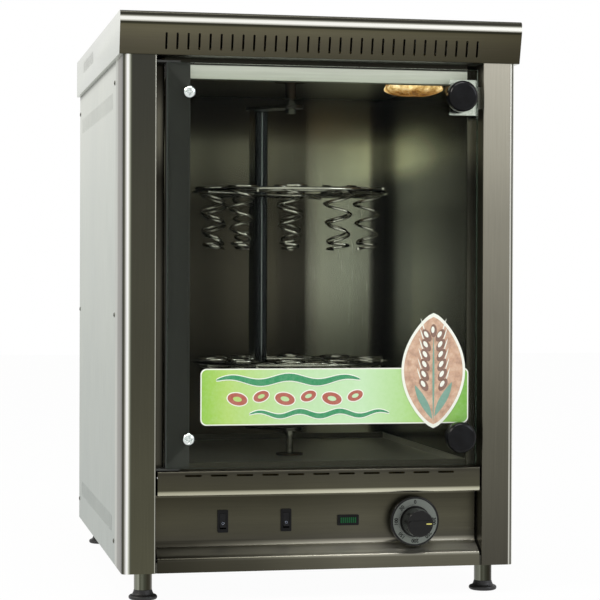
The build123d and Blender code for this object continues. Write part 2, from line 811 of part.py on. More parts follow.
with BuildPart() as indicator_lens:
    with BuildSketch(front_plane(RECESS_Y - BEZEL_T - LENS_RISE)):
        with Locations(INDICATOR_SPOT):
            Rectangle(INDICATOR_BORE_W - RUNNING, INDICATOR_BORE_H - RUNNING)
    extrude(amount=-(LENS_RISE + LENS_DEPTH))
keep(indicator_lens, "indicator_lens")

# Thermostat: body behind the panel, its threaded neck through the panel and a thin nut
with BuildPart() as thermostat_body:
    add(
        box_between(
            (DIAL_X - THERMOSTAT_W / 2, RECESS_Y + SHEET, DIAL_Z - THERMOSTAT_H / 2),
            (
                DIAL_X + THERMOSTAT_W / 2,
                RECESS_Y + SHEET + THERMOSTAT_D,
                DIAL_Z + THERMOSTAT_H / 2,
            ),
        )
    )
    with BuildSketch(front_plane(RECESS_Y + SHEET)):
        with Locations((DIAL_X, DIAL_Z)):
            Circle(NECK_R)
    extrude(amount=SHEET + NECK_REACH)
    with BuildSketch(front_plane(RECESS_Y)):
        with Locations((DIAL_X, DIAL_Z)):
            RegularPolygon(NECK_NUT_R, HEX_SIDES)
    extrude(amount=NECK_NUT_T)
    with BuildSketch(front_plane(RECESS_Y - NECK_REACH)):
        with Locations((DIAL_X, DIAL_Z)):
            Circle(DIAL_SHAFT_R + RUNNING)
    extrude(amount=-(NECK_REACH + SHEET + DIAL_SHAFT_BORE), mode=Mode.SUBTRACT)
keep(thermostat_body, "thermostat_body")

# Dial: a skirted knob with its shaft, and a metal scale ring set on the skirt
SKIRT_BACK_Y = RECESS_Y - DIAL_STANDOFF
SKIRT_FRONT_Y = SKIRT_BACK_Y - DIAL_SKIRT_T
with BuildPart() as thermostat_knob:
    with BuildSketch(front_plane(SKIRT_BACK_Y)):
        with Locations((DIAL_X, DIAL_Z)):
            Circle(DIAL_SKIRT_R)
    extrude(amount=DIAL_SKIRT_T)
    fillet(thermostat_knob.edges().group_by(Axis.Y)[0], radius=DIAL_SKIRT_EDGE_R)
    with BuildSketch(front_plane(SKIRT_FRONT_Y)):
        with Locations((DIAL_X, DIAL_Z)):
            Circle(GRIP_R)
    with BuildSketch(front_plane(SKIRT_FRONT_Y - GRIP_REACH + GRIP_BAR_RISE)):
        with Locations((DIAL_X, DIAL_Z)):
            Circle(GRIP_TAPER_R)
    loft()
    fillet(thermostat_knob.edges().group_by(Axis.Y)[0], radius=GRIP_EDGE_R)
    with BuildSketch(front_plane(SKIRT_FRONT_Y - GRIP_REACH + 2 * GRIP_BAR_RISE)):
        with Locations((DIAL_X, DIAL_Z)):
            SlotOverall(2 * GRIP_TAPER_R - GRIP_BAR_RISE, GRIP_BAR_W)
    extrude(amount=2 * GRIP_BAR_RISE)
    with BuildSketch(front_plane(SKIRT_BACK_Y)):
        with Locations((DIAL_X, DIAL_Z)):
            Circle(DIAL_HUB_R)
    extrude(amount=-(DIAL_STANDOFF - DIAL_HUB_GAP))
    with BuildSketch(front_plane(SKIRT_BACK_Y)):
        with Locations((DIAL_X, DIAL_Z)):
            Circle(DIAL_SHAFT_R)
    extrude(amount=-(DIAL_STANDOFF + SHEET + DIAL_SHAFT_IN))
keep(thermostat_knob, "thermostat_knob")

with BuildPart() as dial_scale_ring:
    with BuildSketch(front_plane(SKIRT_FRONT_Y)):
        with Locations((DIAL_X, DIAL_Z)):
            Circle(SCALE_OUT_R)
            Circle(SCALE_IN_R, mode=Mode.SUBTRACT)
    extrude(amount=SCALE_T)
keep(dial_scale_ring, "dial_scale_ring")

# Feet: fixed sleeves under the pan and four adjustable feet whose stems pass through them
with BuildPart() as foot_sleeves:
    with BuildSketch(Plane.XY.offset(BASE_Z)):
        with Locations(*FOOT_SPOTS):
            Circle(SLEEVE_R)
            Circle(FOOT_STEM_R + RUNNING, mode=Mode.SUBTRACT)
    extrude(amount=-SLEEVE_L)
keep(foot_sleeves, "foot_sleeves")

FOOT_TITLES = ("front_left_foot", "front_right_foot", "rear_left_foot", "rear_right_foot")
PAD_TOP_Z = BASE_Z - SLEEVE_L - FOOT_REST_GAP
for title, spot in zip(FOOT_TITLES, FOOT_SPOTS):
    with BuildPart() as foot:
        with BuildSketch(Plane.XY):
            with Locations(spot):
                Circle(FOOT_PAD_R)
        extrude(amount=FOOT_PAD_EDGE)
        with BuildSketch(Plane.XY.offset(FOOT_PAD_EDGE)):
            with Locations(spot):
                Circle(FOOT_PAD_R)
        with BuildSketch(Plane.XY.offset(PAD_TOP_Z)):
            with Locations(spot):
                Circle(FOOT_PAD_TOP_R)
        loft()
        with BuildSketch(Plane.XY.offset(PAD_TOP_Z)):
            with Locations(spot):
                Circle(FOOT_STEM_R)
        extrude(amount=FOOT_REST_GAP + SLEEVE_L + FOOT_STEM_UP)
    keep(foot, title)

# Door: the glass pane with holes for its screws and knob studs
DOOR_SCREW_SPOTS = [
    (DOOR_X0 + DOOR_SCREW_INSET, DOOR_Z0 + DOOR_SCREW_END),
    (DOOR_X0 + DOOR_SCREW_INSET, DOOR_Z1 - DOOR_SCREW_END),
]
KNOB_X = DOOR_X1 - DOOR_KNOB_INSET
LOWER_KNOB_SPOT = (KNOB_X, DOOR_Z0 + DOOR_KNOB_END)
UPPER_KNOB_SPOT = (KNOB_X, DOOR_Z1 - DOOR_KNOB_END)
with BuildPart() as door_glass:
    add(box_between((DOOR_X0, DOOR_Y, DOOR_Z0), (DOOR_X1, DOOR_BACK_Y, DOOR_Z1)))
    with BuildSketch(front_plane(DOOR_Y)):
        with Locations(*DOOR_SCREW_SPOTS):
            Circle(DOOR_SCREW_SHANK_R + RUNNING)
        with Locations(LOWER_KNOB_SPOT, UPPER_KNOB_SPOT):
            Circle(DOOR_KNOB_STUD_R + RUNNING)
    extrude(amount=-DOOR_T, mode=Mode.SUBTRACT)
keep(door_glass, "door_glass")

# Door: hinge bar behind the pane, bored at both ends for the hinge pins
BAR_X0 = DOOR_X0 - HINGE_BAR_INSET
with BuildPart() as hinge_bar:
    add(
        box_between(
            (BAR_X0, DOOR_BACK_Y, DOOR_Z0),
            (BAR_X0 + HINGE_BAR_W, DOOR_BACK_Y + HINGE_BAR_T, DOOR_Z1),
        )
    )
    fillet(hinge_bar.edges().filter_by(Axis.Z).group_by(Axis.Y)[-1], radius=HINGE_BAR_EDGE_R)
    for end, way in ((DOOR_Z0, 1), (DOOR_Z1, -1)):
        with BuildSketch(Plane.XY.offset(end)):
            with Locations((HINGE_X, HINGE_Y)):
                Circle(HINGE_PIN_R + RUNNING)
        extrude(amount=way * (HINGE_PIN_L + PIN_END_GAP), mode=Mode.SUBTRACT)
    with BuildSketch(front_plane(DOOR_BACK_Y)):
        with Locations(*DOOR_SCREW_SPOTS):
            Circle(DOOR_SCREW_SHANK_R)
    extrude(amount=-DOOR_SCREW_DEPTH, mode=Mode.SUBTRACT)
keep(hinge_bar, "hinge_bar")

# Door: two domed screws that hold the pane on the bar
with BuildPart() as door_screws:
    with BuildSketch(front_plane(DOOR_Y)):
        with Locations(*DOOR_SCREW_SPOTS):
            Circle(DOOR_SCREW_R)
    extrude(amount=DOOR_SCREW_HEAD)
    fillet(door_screws.edges().group_by(Axis.Y)[0], radius=DOOR_SCREW_HEAD - DOOR_SCREW_FLAT)
    with BuildSketch(front_plane(DOOR_Y)):
        with Locations(*DOOR_SCREW_SPOTS):
            Circle(DOOR_SCREW_SHANK_R)
    extrude(amount=-(DOOR_T + DOOR_SCREW_DEPTH))
keep(door_screws, "door_screws")

# Door: strike plate behind the upper knob
PLATE_SPOT = (DOOR_X1 - STRIKE_W / 2, UPPER_KNOB_SPOT[1])
with BuildPart() as strike_plate:
    with BuildSketch(front_plane(DOOR_BACK_Y)):
        with Locations(PLATE_SPOT):
            Rectangle(STRIKE_W, STRIKE_H)
        with Locations(UPPER_KNOB_SPOT):
            Circle(DOOR_KNOB_STUD_R + RUNNING, mode=Mode.SUBTRACT)
    extrude(amount=-STRIKE_T)
keep(strike_plate, "strike_plate")


def door_knob(spot, seat_y):
    """A round knob with a waist, its stud through the pane and a round nut at the seat."""
    waist_y = DOOR_Y - DOOR_KNOB_WAIST_L
    with BuildPart() as knob:
        with BuildSketch(front_plane(DOOR_Y)):
            with Locations(spot):
                Circle(DOOR_KNOB_WAIST_R)
        extrude(amount=DOOR_KNOB_WAIST_L)
        with BuildSketch(front_plane(waist_y)):
            with Locations(spot):
                Circle(DOOR_KNOB_R)
        extrude(amount=DOOR_KNOB_REACH - DOOR_KNOB_WAIST_L)
        fillet(knob.edges().group_by(Axis.Y)[0], radius=DOOR_KNOB_EDGE_R)
        with BuildSketch(front_plane(seat_y)):
            with Locations(spot):
                Circle(DOOR_KNOB_NUT_R)
        extrude(amount=-DOOR_KNOB_NUT_L)
        with BuildSketch(front_plane(DOOR_Y)):
            with Locations(spot):
                Circle(DOOR_KNOB_STUD_R)
        extrude(amount=-(seat_y - DOOR_Y))
    return knob.part


with BuildPart() as upper_door_knob:
    add(door_knob(UPPER_KNOB_SPOT, DOOR_BACK_Y + STRIKE_T))
keep(upper_door_knob, "upper_door_knob")

with BuildPart() as lower_door_knob:
    add(door_knob(LOWER_KNOB_SPOT, DOOR_BACK_Y))
keep(lower_door_knob, "lower_door_knob")


def hinge_bracket(bar_end, way):
    """A plate from the post's inner side with the pin that enters the hinge bar."""
    plate_z = bar_end + way * HINGE_GAP
    with BuildPart() as bracket:
        with BuildSketch(Plane.XY.offset(plate_z)):
            with BuildLine():
                Polyline(
                    (-OPENING_X, FRONT_Y + HINGE_PLATE_FRONT),
                    (-OPENING_X + HINGE_PLATE_W, FRONT_Y + HINGE_PLATE_FRONT),
                    (-OPENING_X + HINGE_PLATE_W, CHAMBER_FRONT_Y - WALL),
                    (-CHAMBER_X, CHAMBER_FRONT_Y - WALL),
                    (-CHAMBER_X, CHAMBER_FRONT_Y),
                    (-OPENING_X, CHAMBER_FRONT_Y),
                    close=True,
                )
            make_face()
        extrude(amount=way * HINGE_PLATE_T)
        with BuildSketch(Plane.XY.offset(plate_z)):
            with Locations((HINGE_X, HINGE_Y)):
                Circle(HINGE_PIN_R)
        extrude(amount=-way * (HINGE_GAP + HINGE_PIN_L))
    return bracket.part


with BuildPart() as upper_hinge_bracket:
    add(hinge_bracket(DOOR_Z1, 1))
keep(upper_hinge_bracket, "upper_hinge_bracket")

with BuildPart() as lower_hinge_bracket:
    add(hinge_bracket(DOOR_Z0, -1))
keep(lower_hinge_bracket, "lower_hinge_bracket")

# Magnetic catch on the right jamb, with a small tab below its magnet
CATCH_X1 = OPENING_X
CATCH_Y0 = DOOR_BACK_Y + STRIKE_T + CATCH_GAP
CATCH_Z0 = PLATE_SPOT[1] - CATCH_H / 2
with BuildPart() as magnetic_catch:
    add(
        box_between(
            (CATCH_X1 - DOOR_RIGHT_GAP - CATCH_W, CATCH_Y0, CATCH_Z0),
            (CATCH_X1, CHAMBER_FRONT_Y, CATCH_Z0 + CATCH_H),
        )
    )
    add(
        box_between(
            (CATCH_X1 - DOOR_RIGHT_GAP, CATCH_Y0, CATCH_Z0 - CATCH_TAB_H),
            (CATCH_X1 - DOOR_RIGHT_GAP + CATCH_TAB_T, CHAMBER_FRONT_Y, CATCH_Z0),
        )
    )
keep(magnetic_catch, "magnetic_catch")

# Carousel: wire tier frames, each two hoops with spokes and two cross wires at the column
PITCH_ANGLE = 360 / HOLDERS_PER_TIER
COLUMN_ANGLE = HOLDER_PHASE + COLUMN_PITCHES * PITCH_ANGLE
COLUMN_INNER = COLUMN_REACH - COLUMN_FLANGE
WIRE_DROP = HOOP_WIRE_R + SPOKE_WIRE_R - WELD_DEPTH


def level_wire(angle, offset_y, start, end):
    """A straight wire under the hoops: along X from start to end, then turned by the angle."""
    with BuildPart() as wire:
        with BuildSketch(Plane.YZ.offset(start)):
            with Locations((offset_y, -WIRE_DROP)):
                Circle(SPOKE_WIRE_R)
        extrude(amount=end - start)
    return wire.part.rotate(Axis.Z, angle)


# One tier frame about the upright axis, with its hoops in the plane Z = 0
with BuildPart() as tier_frame:
    Torus(OUTER_HOOP_R, HOOP_WIRE_R)
    Torus(INNER_HOOP_R, HOOP_WIRE_R)
    for pitches in SPOKE_PITCHES:
        spoke_angle = HOLDER_PHASE + pitches * PITCH_ANGLE
        add(level_wire(spoke_angle, 0, INNER_HOOP_R - HOOP_WIRE_R, OUTER_HOOP_R + HOOP_WIRE_R))
    for middle in (
        COLUMN_REACH + RUNNING + SPOKE_WIRE_R,
        COLUMN_INNER - RUNNING - SPOKE_WIRE_R,
    ):
        half_chord = sqrt(INNER_HOOP_R**2 - middle**2)
        add(level_wire(COLUMN_ANGLE - 90, middle, -half_chord, half_chord))

for title, height in (("upper_tier_frame", UPPER_TIER_H), ("lower_tier_frame", LOWER_TIER_H)):
    with BuildPart() as tier:
        with Locations((0, AXIS_Y, BASE_Z + height)):
            add(tier_frame.part)
    keep(tier, title)

# Carousel: one wire spiral, written as stations a quarter turn apart
SPIRAL_QUARTERS = SPIRAL_FLAT_QUARTERS + SPIRAL_OPEN_QUARTERS + SPIRAL_END_QUARTERS


def spiral_radius(quarter):
    """Radius of the wire's centre: nearly level on the hoops, then in, then a taper."""
    if quarter < SPIRAL_FLAT_QUARTERS:
        share = quarter / (SPIRAL_FLAT_QUARTERS - 1)
        return SPIRAL_TOP_R + share * (SPIRAL_REST_R - SPIRAL_TOP_R)
    if quarter == SPIRAL_FLAT_QUARTERS:
        return (SPIRAL_REST_R + SPIRAL_NECK_R) / 2
    share = (quarter - SPIRAL_FLAT_QUARTERS - 1) / (SPIRAL_OPEN_QUARTERS - 1)
    return SPIRAL_NECK_R + min(share, 1) * (SPIRAL_END_R - SPIRAL_NECK_R)


def spiral_height(quarter):
    """Height of the wire's centre below its top turn."""
    opened = min(max(quarter - SPIRAL_FLAT_QUARTERS, 0), SPIRAL_OPEN_QUARTERS)
    closed = max(quarter - SPIRAL_FLAT_QUARTERS - SPIRAL_OPEN_QUARTERS, 0)
    return -(opened * SPIRAL_OPEN_PITCH + closed * SPIRAL_END_PITCH) / 4


def spiral_station(quarter):
    """Point and unit tangent of the wire at a whole number of quarter turns."""
    before = max(quarter - 1, 0)
    after = min(quarter + 1, SPIRAL_QUARTERS)
    radius = spiral_radius(quarter)
    swing = radius * pi / 2
    grow = (spiral_radius(after) - spiral_radius(before)) / (after - before)
    rise = (spiral_height(after) - spiral_height(before)) / (after - before)
    angle = quarter * pi / 2
    point = Vector(radius * cos(angle), radius * sin(angle), spiral_height(quarter))
    tangent = Vector(
        grow * cos(angle) - swing * sin(angle),
        grow * sin(angle) + swing * cos(angle),
        rise,
    )
    return point, tangent.normalized()


def biarc_middle(start, start_way, end, end_way):
    """The point where two tangent arcs from both ends meet, and their direction there."""
    chord = end - start
    ways = start_way + end_way
    spread = 2 * (1 - start_way.dot(end_way))
    along = chord.dot(ways)
    reach = (sqrt(along**2 + spread * chord.dot(chord)) - along) / spread
    corner_in = start + start_way * reach
    corner_out = end - end_way * reach
    return (corner_in + corner_out) / 2, corner_out - corner_in


def spiral_path():
    """The wire's centre line: short straight ends and two arcs to each quarter turn."""
    stations = [spiral_station(quarter) for quarter in range(SPIRAL_QUARTERS + 1)]
    first, first_way = stations[0]
    last, last_way = stations[-1]
    with BuildLine() as path:
        Line(first - first_way * SPIRAL_LEAD, first)
        for (start, start_way), (end, end_way) in zip(stations, stations[1:]):
            middle, middle_way = biarc_middle(start, start_way, end, end_way)
            TangentArc(start, middle, tangent=start_way)
            TangentArc(middle, end, tangent=middle_way)
        Line(last, last + last_way * SPIRAL_LEAD)
    return Wire(path.edges())


SPIRAL_LINE = spiral_path()
first_point, first_tangent = spiral_station(0)
with BuildPart() as wire_spiral:
    with BuildSketch(Plane(first_point - first_tangent * SPIRAL_LEAD, z_dir=first_tangent)):
        Circle(SPIRAL_WIRE_R)
    sweep(path=SPIRAL_LINE)


def least_self_gap(line, samples):
    """Least distance between wire surfaces of stretches at least half a turn apart."""
    points = [line.position_at(i / samples) for i in range(samples + 1)]
    apart = int(samples / SPIRAL_QUARTERS * 2)
    pairs = [
        (points[i] - points[j]).length
        for i in range(len(points))
        for j in range(i + apart, len(points))
    ]
    return min(pairs) - 2 * SPIRAL_WIRE_R


GAP_SAMPLES = 360
print("least gap of a holder's wire to itself, mm:", least_self_gap(SPIRAL_LINE, GAP_SAMPLES))
print("wire turns in all:", SPIRAL_QUARTERS / 4 * 2 * HOLDERS_PER_TIER)

# Carousel: the holders of both tiers, each resting with its top turn on the two hoops
WIRE_REST = HOOP_WIRE_R + SPIRAL_WIRE_R + WIRE_SEAT
for title, height in (("upper_cone_holders", UPPER_TIER_H), ("lower_cone_holders", LOWER_TIER_H)):
    with BuildPart() as holders:
        with Locations((0, AXIS_Y, BASE_Z + height + WIRE_REST)):
            with PolarLocations(HOLDER_CIRCLE_R, HOLDERS_PER_TIER, start_angle=HOLDER_PHASE):
                add(wire_spiral.part)
    keep(holders, title)

# Carousel: a channel column beside the axis, and an arm from the axis to each of its ends
TOP_ARM_Z = CEILING_Z - TOP_ARM_DROP
BOTTOM_ARM_Z = BASE_Z + BOTTOM_ARM_H
ARM_REACH = COLUMN_REACH - COLUMN_FLANGE / 2


def arm(low_z, middle_r):
    """A flat bar from the axis to the column, with a hole at the axis."""
    with BuildPart() as bar:
        with BuildSketch(Plane.XY.offset(low_z)):
            with Locations(Location((0, AXIS_Y, 0), (0, 0, COLUMN_ANGLE))):
                with Locations((ARM_REACH / 2, 0)):
                    SlotCenterToCenter(ARM_REACH, ARM_W)
            with Locations((0, AXIS_Y)):
                Circle(middle_r + RUNNING, mode=Mode.SUBTRACT)
        extrude(amount=ARM_T)
    return bar.part


with BuildPart() as top_arm:
    add(arm(TOP_ARM_Z, TOP_PIN_R))
keep(top_arm, "top_arm")

with BuildPart() as bottom_arm:
    add(arm(BOTTOM_ARM_Z, SPINDLE_R))
keep(bottom_arm, "bottom_arm")

# One column section about the axis: the web outside, the flanges turned in
with BuildPart() as column_about_axis:
    add(
        folded_sheet(
            Plane.XY.offset(BOTTOM_ARM_Z + ARM_T),
            [
                (COLUMN_INNER, -COLUMN_W / 2),
                (COLUMN_REACH, -COLUMN_W / 2),
                (COLUMN_REACH, COLUMN_W / 2),
                (COLUMN_INNER, COLUMN_W / 2),
            ],
            [COLUMN_BEND_R, COLUMN_BEND_R],
            COLUMN_T,
            TOP_ARM_Z - BOTTOM_ARM_Z - ARM_T,
        )
    )

with BuildPart() as carrier_column:
    with Locations(Location((0, AXIS_Y, 0), (0, 0, COLUMN_ANGLE))):
        add(column_about_axis.part)
keep(carrier_column, "carrier_column")

with BuildPart() as pin_nut:
    with BuildSketch(Plane.XY.offset(TOP_ARM_Z + ARM_T)):
        with Locations((0, AXIS_Y)):
            RegularPolygon(NUT_R, HEX_SIDES)
            Circle(TOP_PIN_R + RUNNING, mode=Mode.SUBTRACT)
    extrude(amount=NUT_T)
keep(pin_nut, "pin_nut")

# Carousel: top pin, a bolt whose end turns in the top bearing
with BuildPart() as top_pin:
    with BuildSketch(Plane.XY.offset(TOP_ARM_Z)):
        with Locations((0, AXIS_Y)):
            RegularPolygon(NUT_R, HEX_SIDES)
    extrude(amount=-TOP_PIN_HEAD)
    with BuildSketch(Plane.XY.offset(TOP_ARM_Z)):
        with Locations((0, AXIS_Y)):
            Circle(TOP_PIN_R)
    extrude(amount=TOP_PIN_UP)
keep(top_pin, "top_pin")

with BuildPart() as top_bearing:
    with BuildSketch(Plane.XY.offset(CEILING_Z)):
        with Locations((0, AXIS_Y)):
            Circle(TOP_FLANGE_R)
    extrude(amount=-TOP_FLANGE_T)
    with BuildSketch(Plane.XY.offset(CEILING_Z - TOP_FLANGE_T)):
        with Locations((0, AXIS_Y)):
            Circle(TOP_BEARING_R)
    extrude(amount=-(CEILING_Z - TOP_FLANGE_T - TOP_ARM_Z - ARM_T - TOP_BEARING_GAP))
    with BuildSketch(Plane.XY.offset(CEILING_Z)):
        with Locations((0, AXIS_Y)):
            Circle(TOP_STUD_R)
    extrude(amount=TOP_STUD_L)
    with BuildSketch(Plane.XY.offset(TOP_ARM_Z + ARM_T + TOP_BEARING_GAP)):
        with Locations((0, AXIS_Y)):
            Circle(TOP_PIN_R + RUNNING)
    extrude(amount=TOP_PIN_UP - ARM_T - TOP_BEARING_GAP + PIN_END_GAP, mode=Mode.SUBTRACT)
keep(top_bearing, "top_bearing")

# Drive: floor bearing, spindle, output shaft and gear motor on its bracket
BEARING_LOW_Z = FLOOR_Z - FLOOR_INSULATION - FLOOR_BEARING_DOWN
HUB_TOP_Z = BEARING_LOW_Z - HUB_GAP
HUB_LOW_Z = HUB_TOP_Z - HUB_L
with BuildPart() as floor_bearing:
    with BuildSketch(Plane.XY.offset(FLOOR_Z + WALL)):
        with Locations((0, AXIS_Y)):
            Circle(FLOOR_FLANGE_R)
    extrude(amount=FLOOR_FLANGE_T)
    with BuildSketch(Plane.XY.offset(FLOOR_Z + WALL)):
        with Locations((0, AXIS_Y)):
            Circle(FLOOR_BEARING_R)
    extrude(amount=-(FLOOR_Z + WALL - BEARING_LOW_Z))
    with BuildSketch(Plane.XY.offset(BEARING_LOW_Z)):
        with Locations((0, AXIS_Y)):
            Circle(SPINDLE_R + RUNNING)
    extrude(amount=FLOOR_Z + WALL + FLOOR_FLANGE_T - BEARING_LOW_Z, mode=Mode.SUBTRACT)
keep(floor_bearing, "floor_bearing")

with BuildPart() as spindle:
    with BuildSketch(Plane.XY.offset(HUB_LOW_Z)):
        with Locations((0, AXIS_Y)):
            Circle(HUB_R)
    extrude(amount=HUB_L)
    with BuildSketch(Plane.XY.offset(HUB_TOP_Z)):
        with Locations((0, AXIS_Y)):
            Circle(SPINDLE_R)
    extrude(amount=BOTTOM_ARM_Z + ARM_T - HUB_TOP_Z)
    with BuildSketch(Plane.XY.offset(BOTTOM_ARM_Z)):
        with Locations((0, AXIS_Y)):
            Circle(SPINDLE_SHOULDER_R)
    extrude(amount=-SPINDLE_SHOULDER_L)
    with BuildSketch(Plane.XY.offset(HUB_LOW_Z)):
        with Locations((0, AXIS_Y)):
            Circle(OUTPUT_SHAFT_R + RUNNING)
    extrude(amount=HUB_BORE_L, mode=Mode.SUBTRACT)
keep(spindle, "spindle")

BRACKET_TOP_Z = BASE_Z + SHEET + BRACKET_H
GEARBOX_TOP_Z = BRACKET_TOP_Z + GEARBOX_H
with BuildPart() as output_shaft:
    with BuildSketch(Plane.XY.offset(GEARBOX_TOP_Z - SHAFT_DEPTH)):
        with Locations((0, AXIS_Y)):
            Circle(OUTPUT_SHAFT_R)
    extrude(amount=HUB_LOW_Z + HUB_BORE_L - GEARBOX_TOP_Z + SHAFT_DEPTH)
keep(output_shaft, "output_shaft")

with BuildPart() as gear_motor:
    with BuildSketch(Plane.XY.offset(BRACKET_TOP_Z)):
        with Locations((0, AXIS_Y)):
            RectangleRounded(GEARBOX_W, GEARBOX_D, GEARBOX_EDGE_R)
    extrude(amount=GEARBOX_H)
    with BuildSketch(front_plane(AXIS_Y + GEARBOX_D / 2)):
        with Locations((0, BRACKET_TOP_Z + MOTOR_R)):
            Circle(MOTOR_R)
    extrude(amount=-MOTOR_L)
    with BuildSketch(Plane.XY.offset(GEARBOX_TOP_Z - SHAFT_DEPTH)):
        with Locations((0, AXIS_Y)):
            Circle(OUTPUT_SHAFT_R + RUNNING)
    extrude(amount=SHAFT_DEPTH, mode=Mode.SUBTRACT)
keep(gear_motor, "gear_motor")

with BuildPart() as motor_bracket:
    add(
        folded_sheet(
            front_plane(AXIS_Y + BRACKET_L - GEARBOX_D / 2),
            [
                (BRACKET_W / 2 + BRACKET_FOOT, BASE_Z + SHEET + BRACKET_T),
                (BRACKET_W / 2, BASE_Z + SHEET + BRACKET_T),
                (BRACKET_W / 2, BRACKET_TOP_Z),
                (-BRACKET_W / 2, BRACKET_TOP_Z),
                (-BRACKET_W / 2, BASE_Z + SHEET + BRACKET_T),
                (-BRACKET_W / 2 - BRACKET_FOOT, BASE_Z + SHEET + BRACKET_T),
            ],
            [FOLD_R, BRACKET_T + FOLD_R, BRACKET_T + FOLD_R, FOLD_R],
            BRACKET_T,
            BRACKET_L,
        )
    )
keep(motor_bracket, "motor_bracket")

# Heating element: one tube in four upright legs, its ends turned back through the wool
ELEMENT_TOP_Z = CEILING_Z - ELEMENT_TOP_DROP
ELEMENT_END_Y = CLIP_BACK_Y + INSULATION + ELEMENT_TAIL
TURN_LOW_Z = ELEMENT_LOW_Z + ELEMENT_LEG_PITCH
with BuildPart() as heating_element:
    with BuildLine() as element_path:
        FilletPolyline(
            (LEG_X[0], ELEMENT_END_Y, ELEMENT_LOW_Z),
            (LEG_X[0], ELEMENT_Y, ELEMENT_LOW_Z),
            (LEG_X[0], ELEMENT_Y, ELEMENT_TOP_Z),
            (LEG_X[1], ELEMENT_Y, ELEMENT_TOP_Z),
            (LEG_X[1], ELEMENT_Y, TURN_LOW_Z),
            (LEG_X[2], ELEMENT_Y, TURN_LOW_Z),
            (LEG_X[2], ELEMENT_Y, ELEMENT_TOP_Z),
            (LEG_X[3], ELEMENT_Y, ELEMENT_TOP_Z),
            (LEG_X[3], ELEMENT_Y, ELEMENT_LOW_Z),
            (LEG_X[3], ELEMENT_END_Y, ELEMENT_LOW_Z),
            radius=ELEMENT_BEND_R,
        )
    with BuildSketch(front_plane(ELEMENT_END_Y)):
        with Locations((LEG_X[0], ELEMENT_LOW_Z)):
            Circle(ELEMENT_R)
    sweep(path=element_path.line)
keep(heating_element, "heating_element")

with BuildPart() as element_clips:
    for clip_h in CLIP_H:
        with BuildSketch(Plane.XY.offset(BASE_Z + clip_h - CLIP_T / 2)):
            for x in LEG_X:
                clip_d = CLIP_BACK_Y - CHAMBER_BACK_Y - WALL
                with Locations((x, CLIP_BACK_Y - clip_d / 2)):
                    Rectangle(CLIP_W, clip_d)
                with Locations((x, ELEMENT_Y)):
                    Circle(ELEMENT_R + RUNNING, mode=Mode.SUBTRACT)
        extrude(amount=CLIP_T)
keep(element_clips, "element_clips")

# Oven lamp: frame and holder in the ceiling, bulb, and a deep amber glass cover
with BuildPart() as lamp_holder:
    with BuildSketch(Plane.XY.offset(CEILING_Z)):
        with Locations((LAMP_X, LAMP_Y)):
            RectangleRounded(LAMP_W, LAMP_D, LAMP_EDGE_R)
    extrude(amount=-LAMP_RIM_DROP)
    with BuildSketch(Plane.XY.offset(CEILING_Z - LAMP_RIM_DROP)):
        with Locations((LAMP_X, LAMP_Y)):
            RectangleRounded(LAMP_W - LAMP_FRAME_W, LAMP_D - LAMP_FRAME_W, LAMP_EDGE_R)
    extrude(amount=LAMP_RIM_DROP, mode=Mode.SUBTRACT)
    with BuildSketch(Plane.XY.offset(CEILING_Z - LAMP_RIM_DROP)):
        with Locations((LAMP_X, LAMP_Y)):
            Circle(LAMP_HOLDER_R)
            Circle(BULB_NECK_R, mode=Mode.SUBTRACT)
    extrude(amount=LAMP_HOLDER_UP)
    with BuildSketch(Plane.XY.offset(CEILING_Z - WALL)):
        with Locations((LAMP_X, LAMP_Y)):
            Rectangle(LAMP_W - LAMP_FRAME_W, LAMP_BAR_W)
            Circle(BULB_NECK_R, mode=Mode.SUBTRACT)
    extrude(amount=WALL)
keep(lamp_holder, "lamp_holder")

with BuildPart() as lamp_bulb:
    with BuildSketch(Plane.XY.offset(CEILING_Z + BULB_NECK_UP)):
        with Locations((LAMP_X, LAMP_Y)):
            Circle(BULB_NECK_R)
    extrude(amount=-(BULB_NECK_UP + BULB_DROP))
    with Locations((LAMP_X, LAMP_Y, CEILING_Z - BULB_DROP - BULB_NECK_R)):
        Sphere(BULB_R)
keep(lamp_bulb, "lamp_bulb")

COVER_W = LAMP_W - LAMP_FRAME_W - RUNNING
COVER_D = LAMP_D - LAMP_FRAME_W - RUNNING
with BuildPart() as lamp_cover:
    with BuildSketch(Plane.XY.offset(CEILING_Z - WALL)):
        with Locations((LAMP_X, LAMP_Y)):
            RectangleRounded(COVER_W, COVER_D, LAMP_EDGE_R - RUNNING)
    extrude(amount=-(LAMP_DROP - WALL))
    fillet(lamp_cover.edges().group_by(Axis.Z)[0], radius=LAMP_BELLY_R)
    with BuildSketch(Plane.XY.offset(CEILING_Z - WALL)):
        with Locations((LAMP_X, LAMP_Y)):
            RectangleRounded(
                COVER_W - 2 * LAMP_GLASS, COVER_D - 2 * LAMP_GLASS, LAMP_EDGE_R - LAMP_GLASS
            )
    extrude(amount=-(LAMP_DROP - WALL - LAMP_GLASS), mode=Mode.SUBTRACT)
keep(lamp_cover, "lamp_cover")

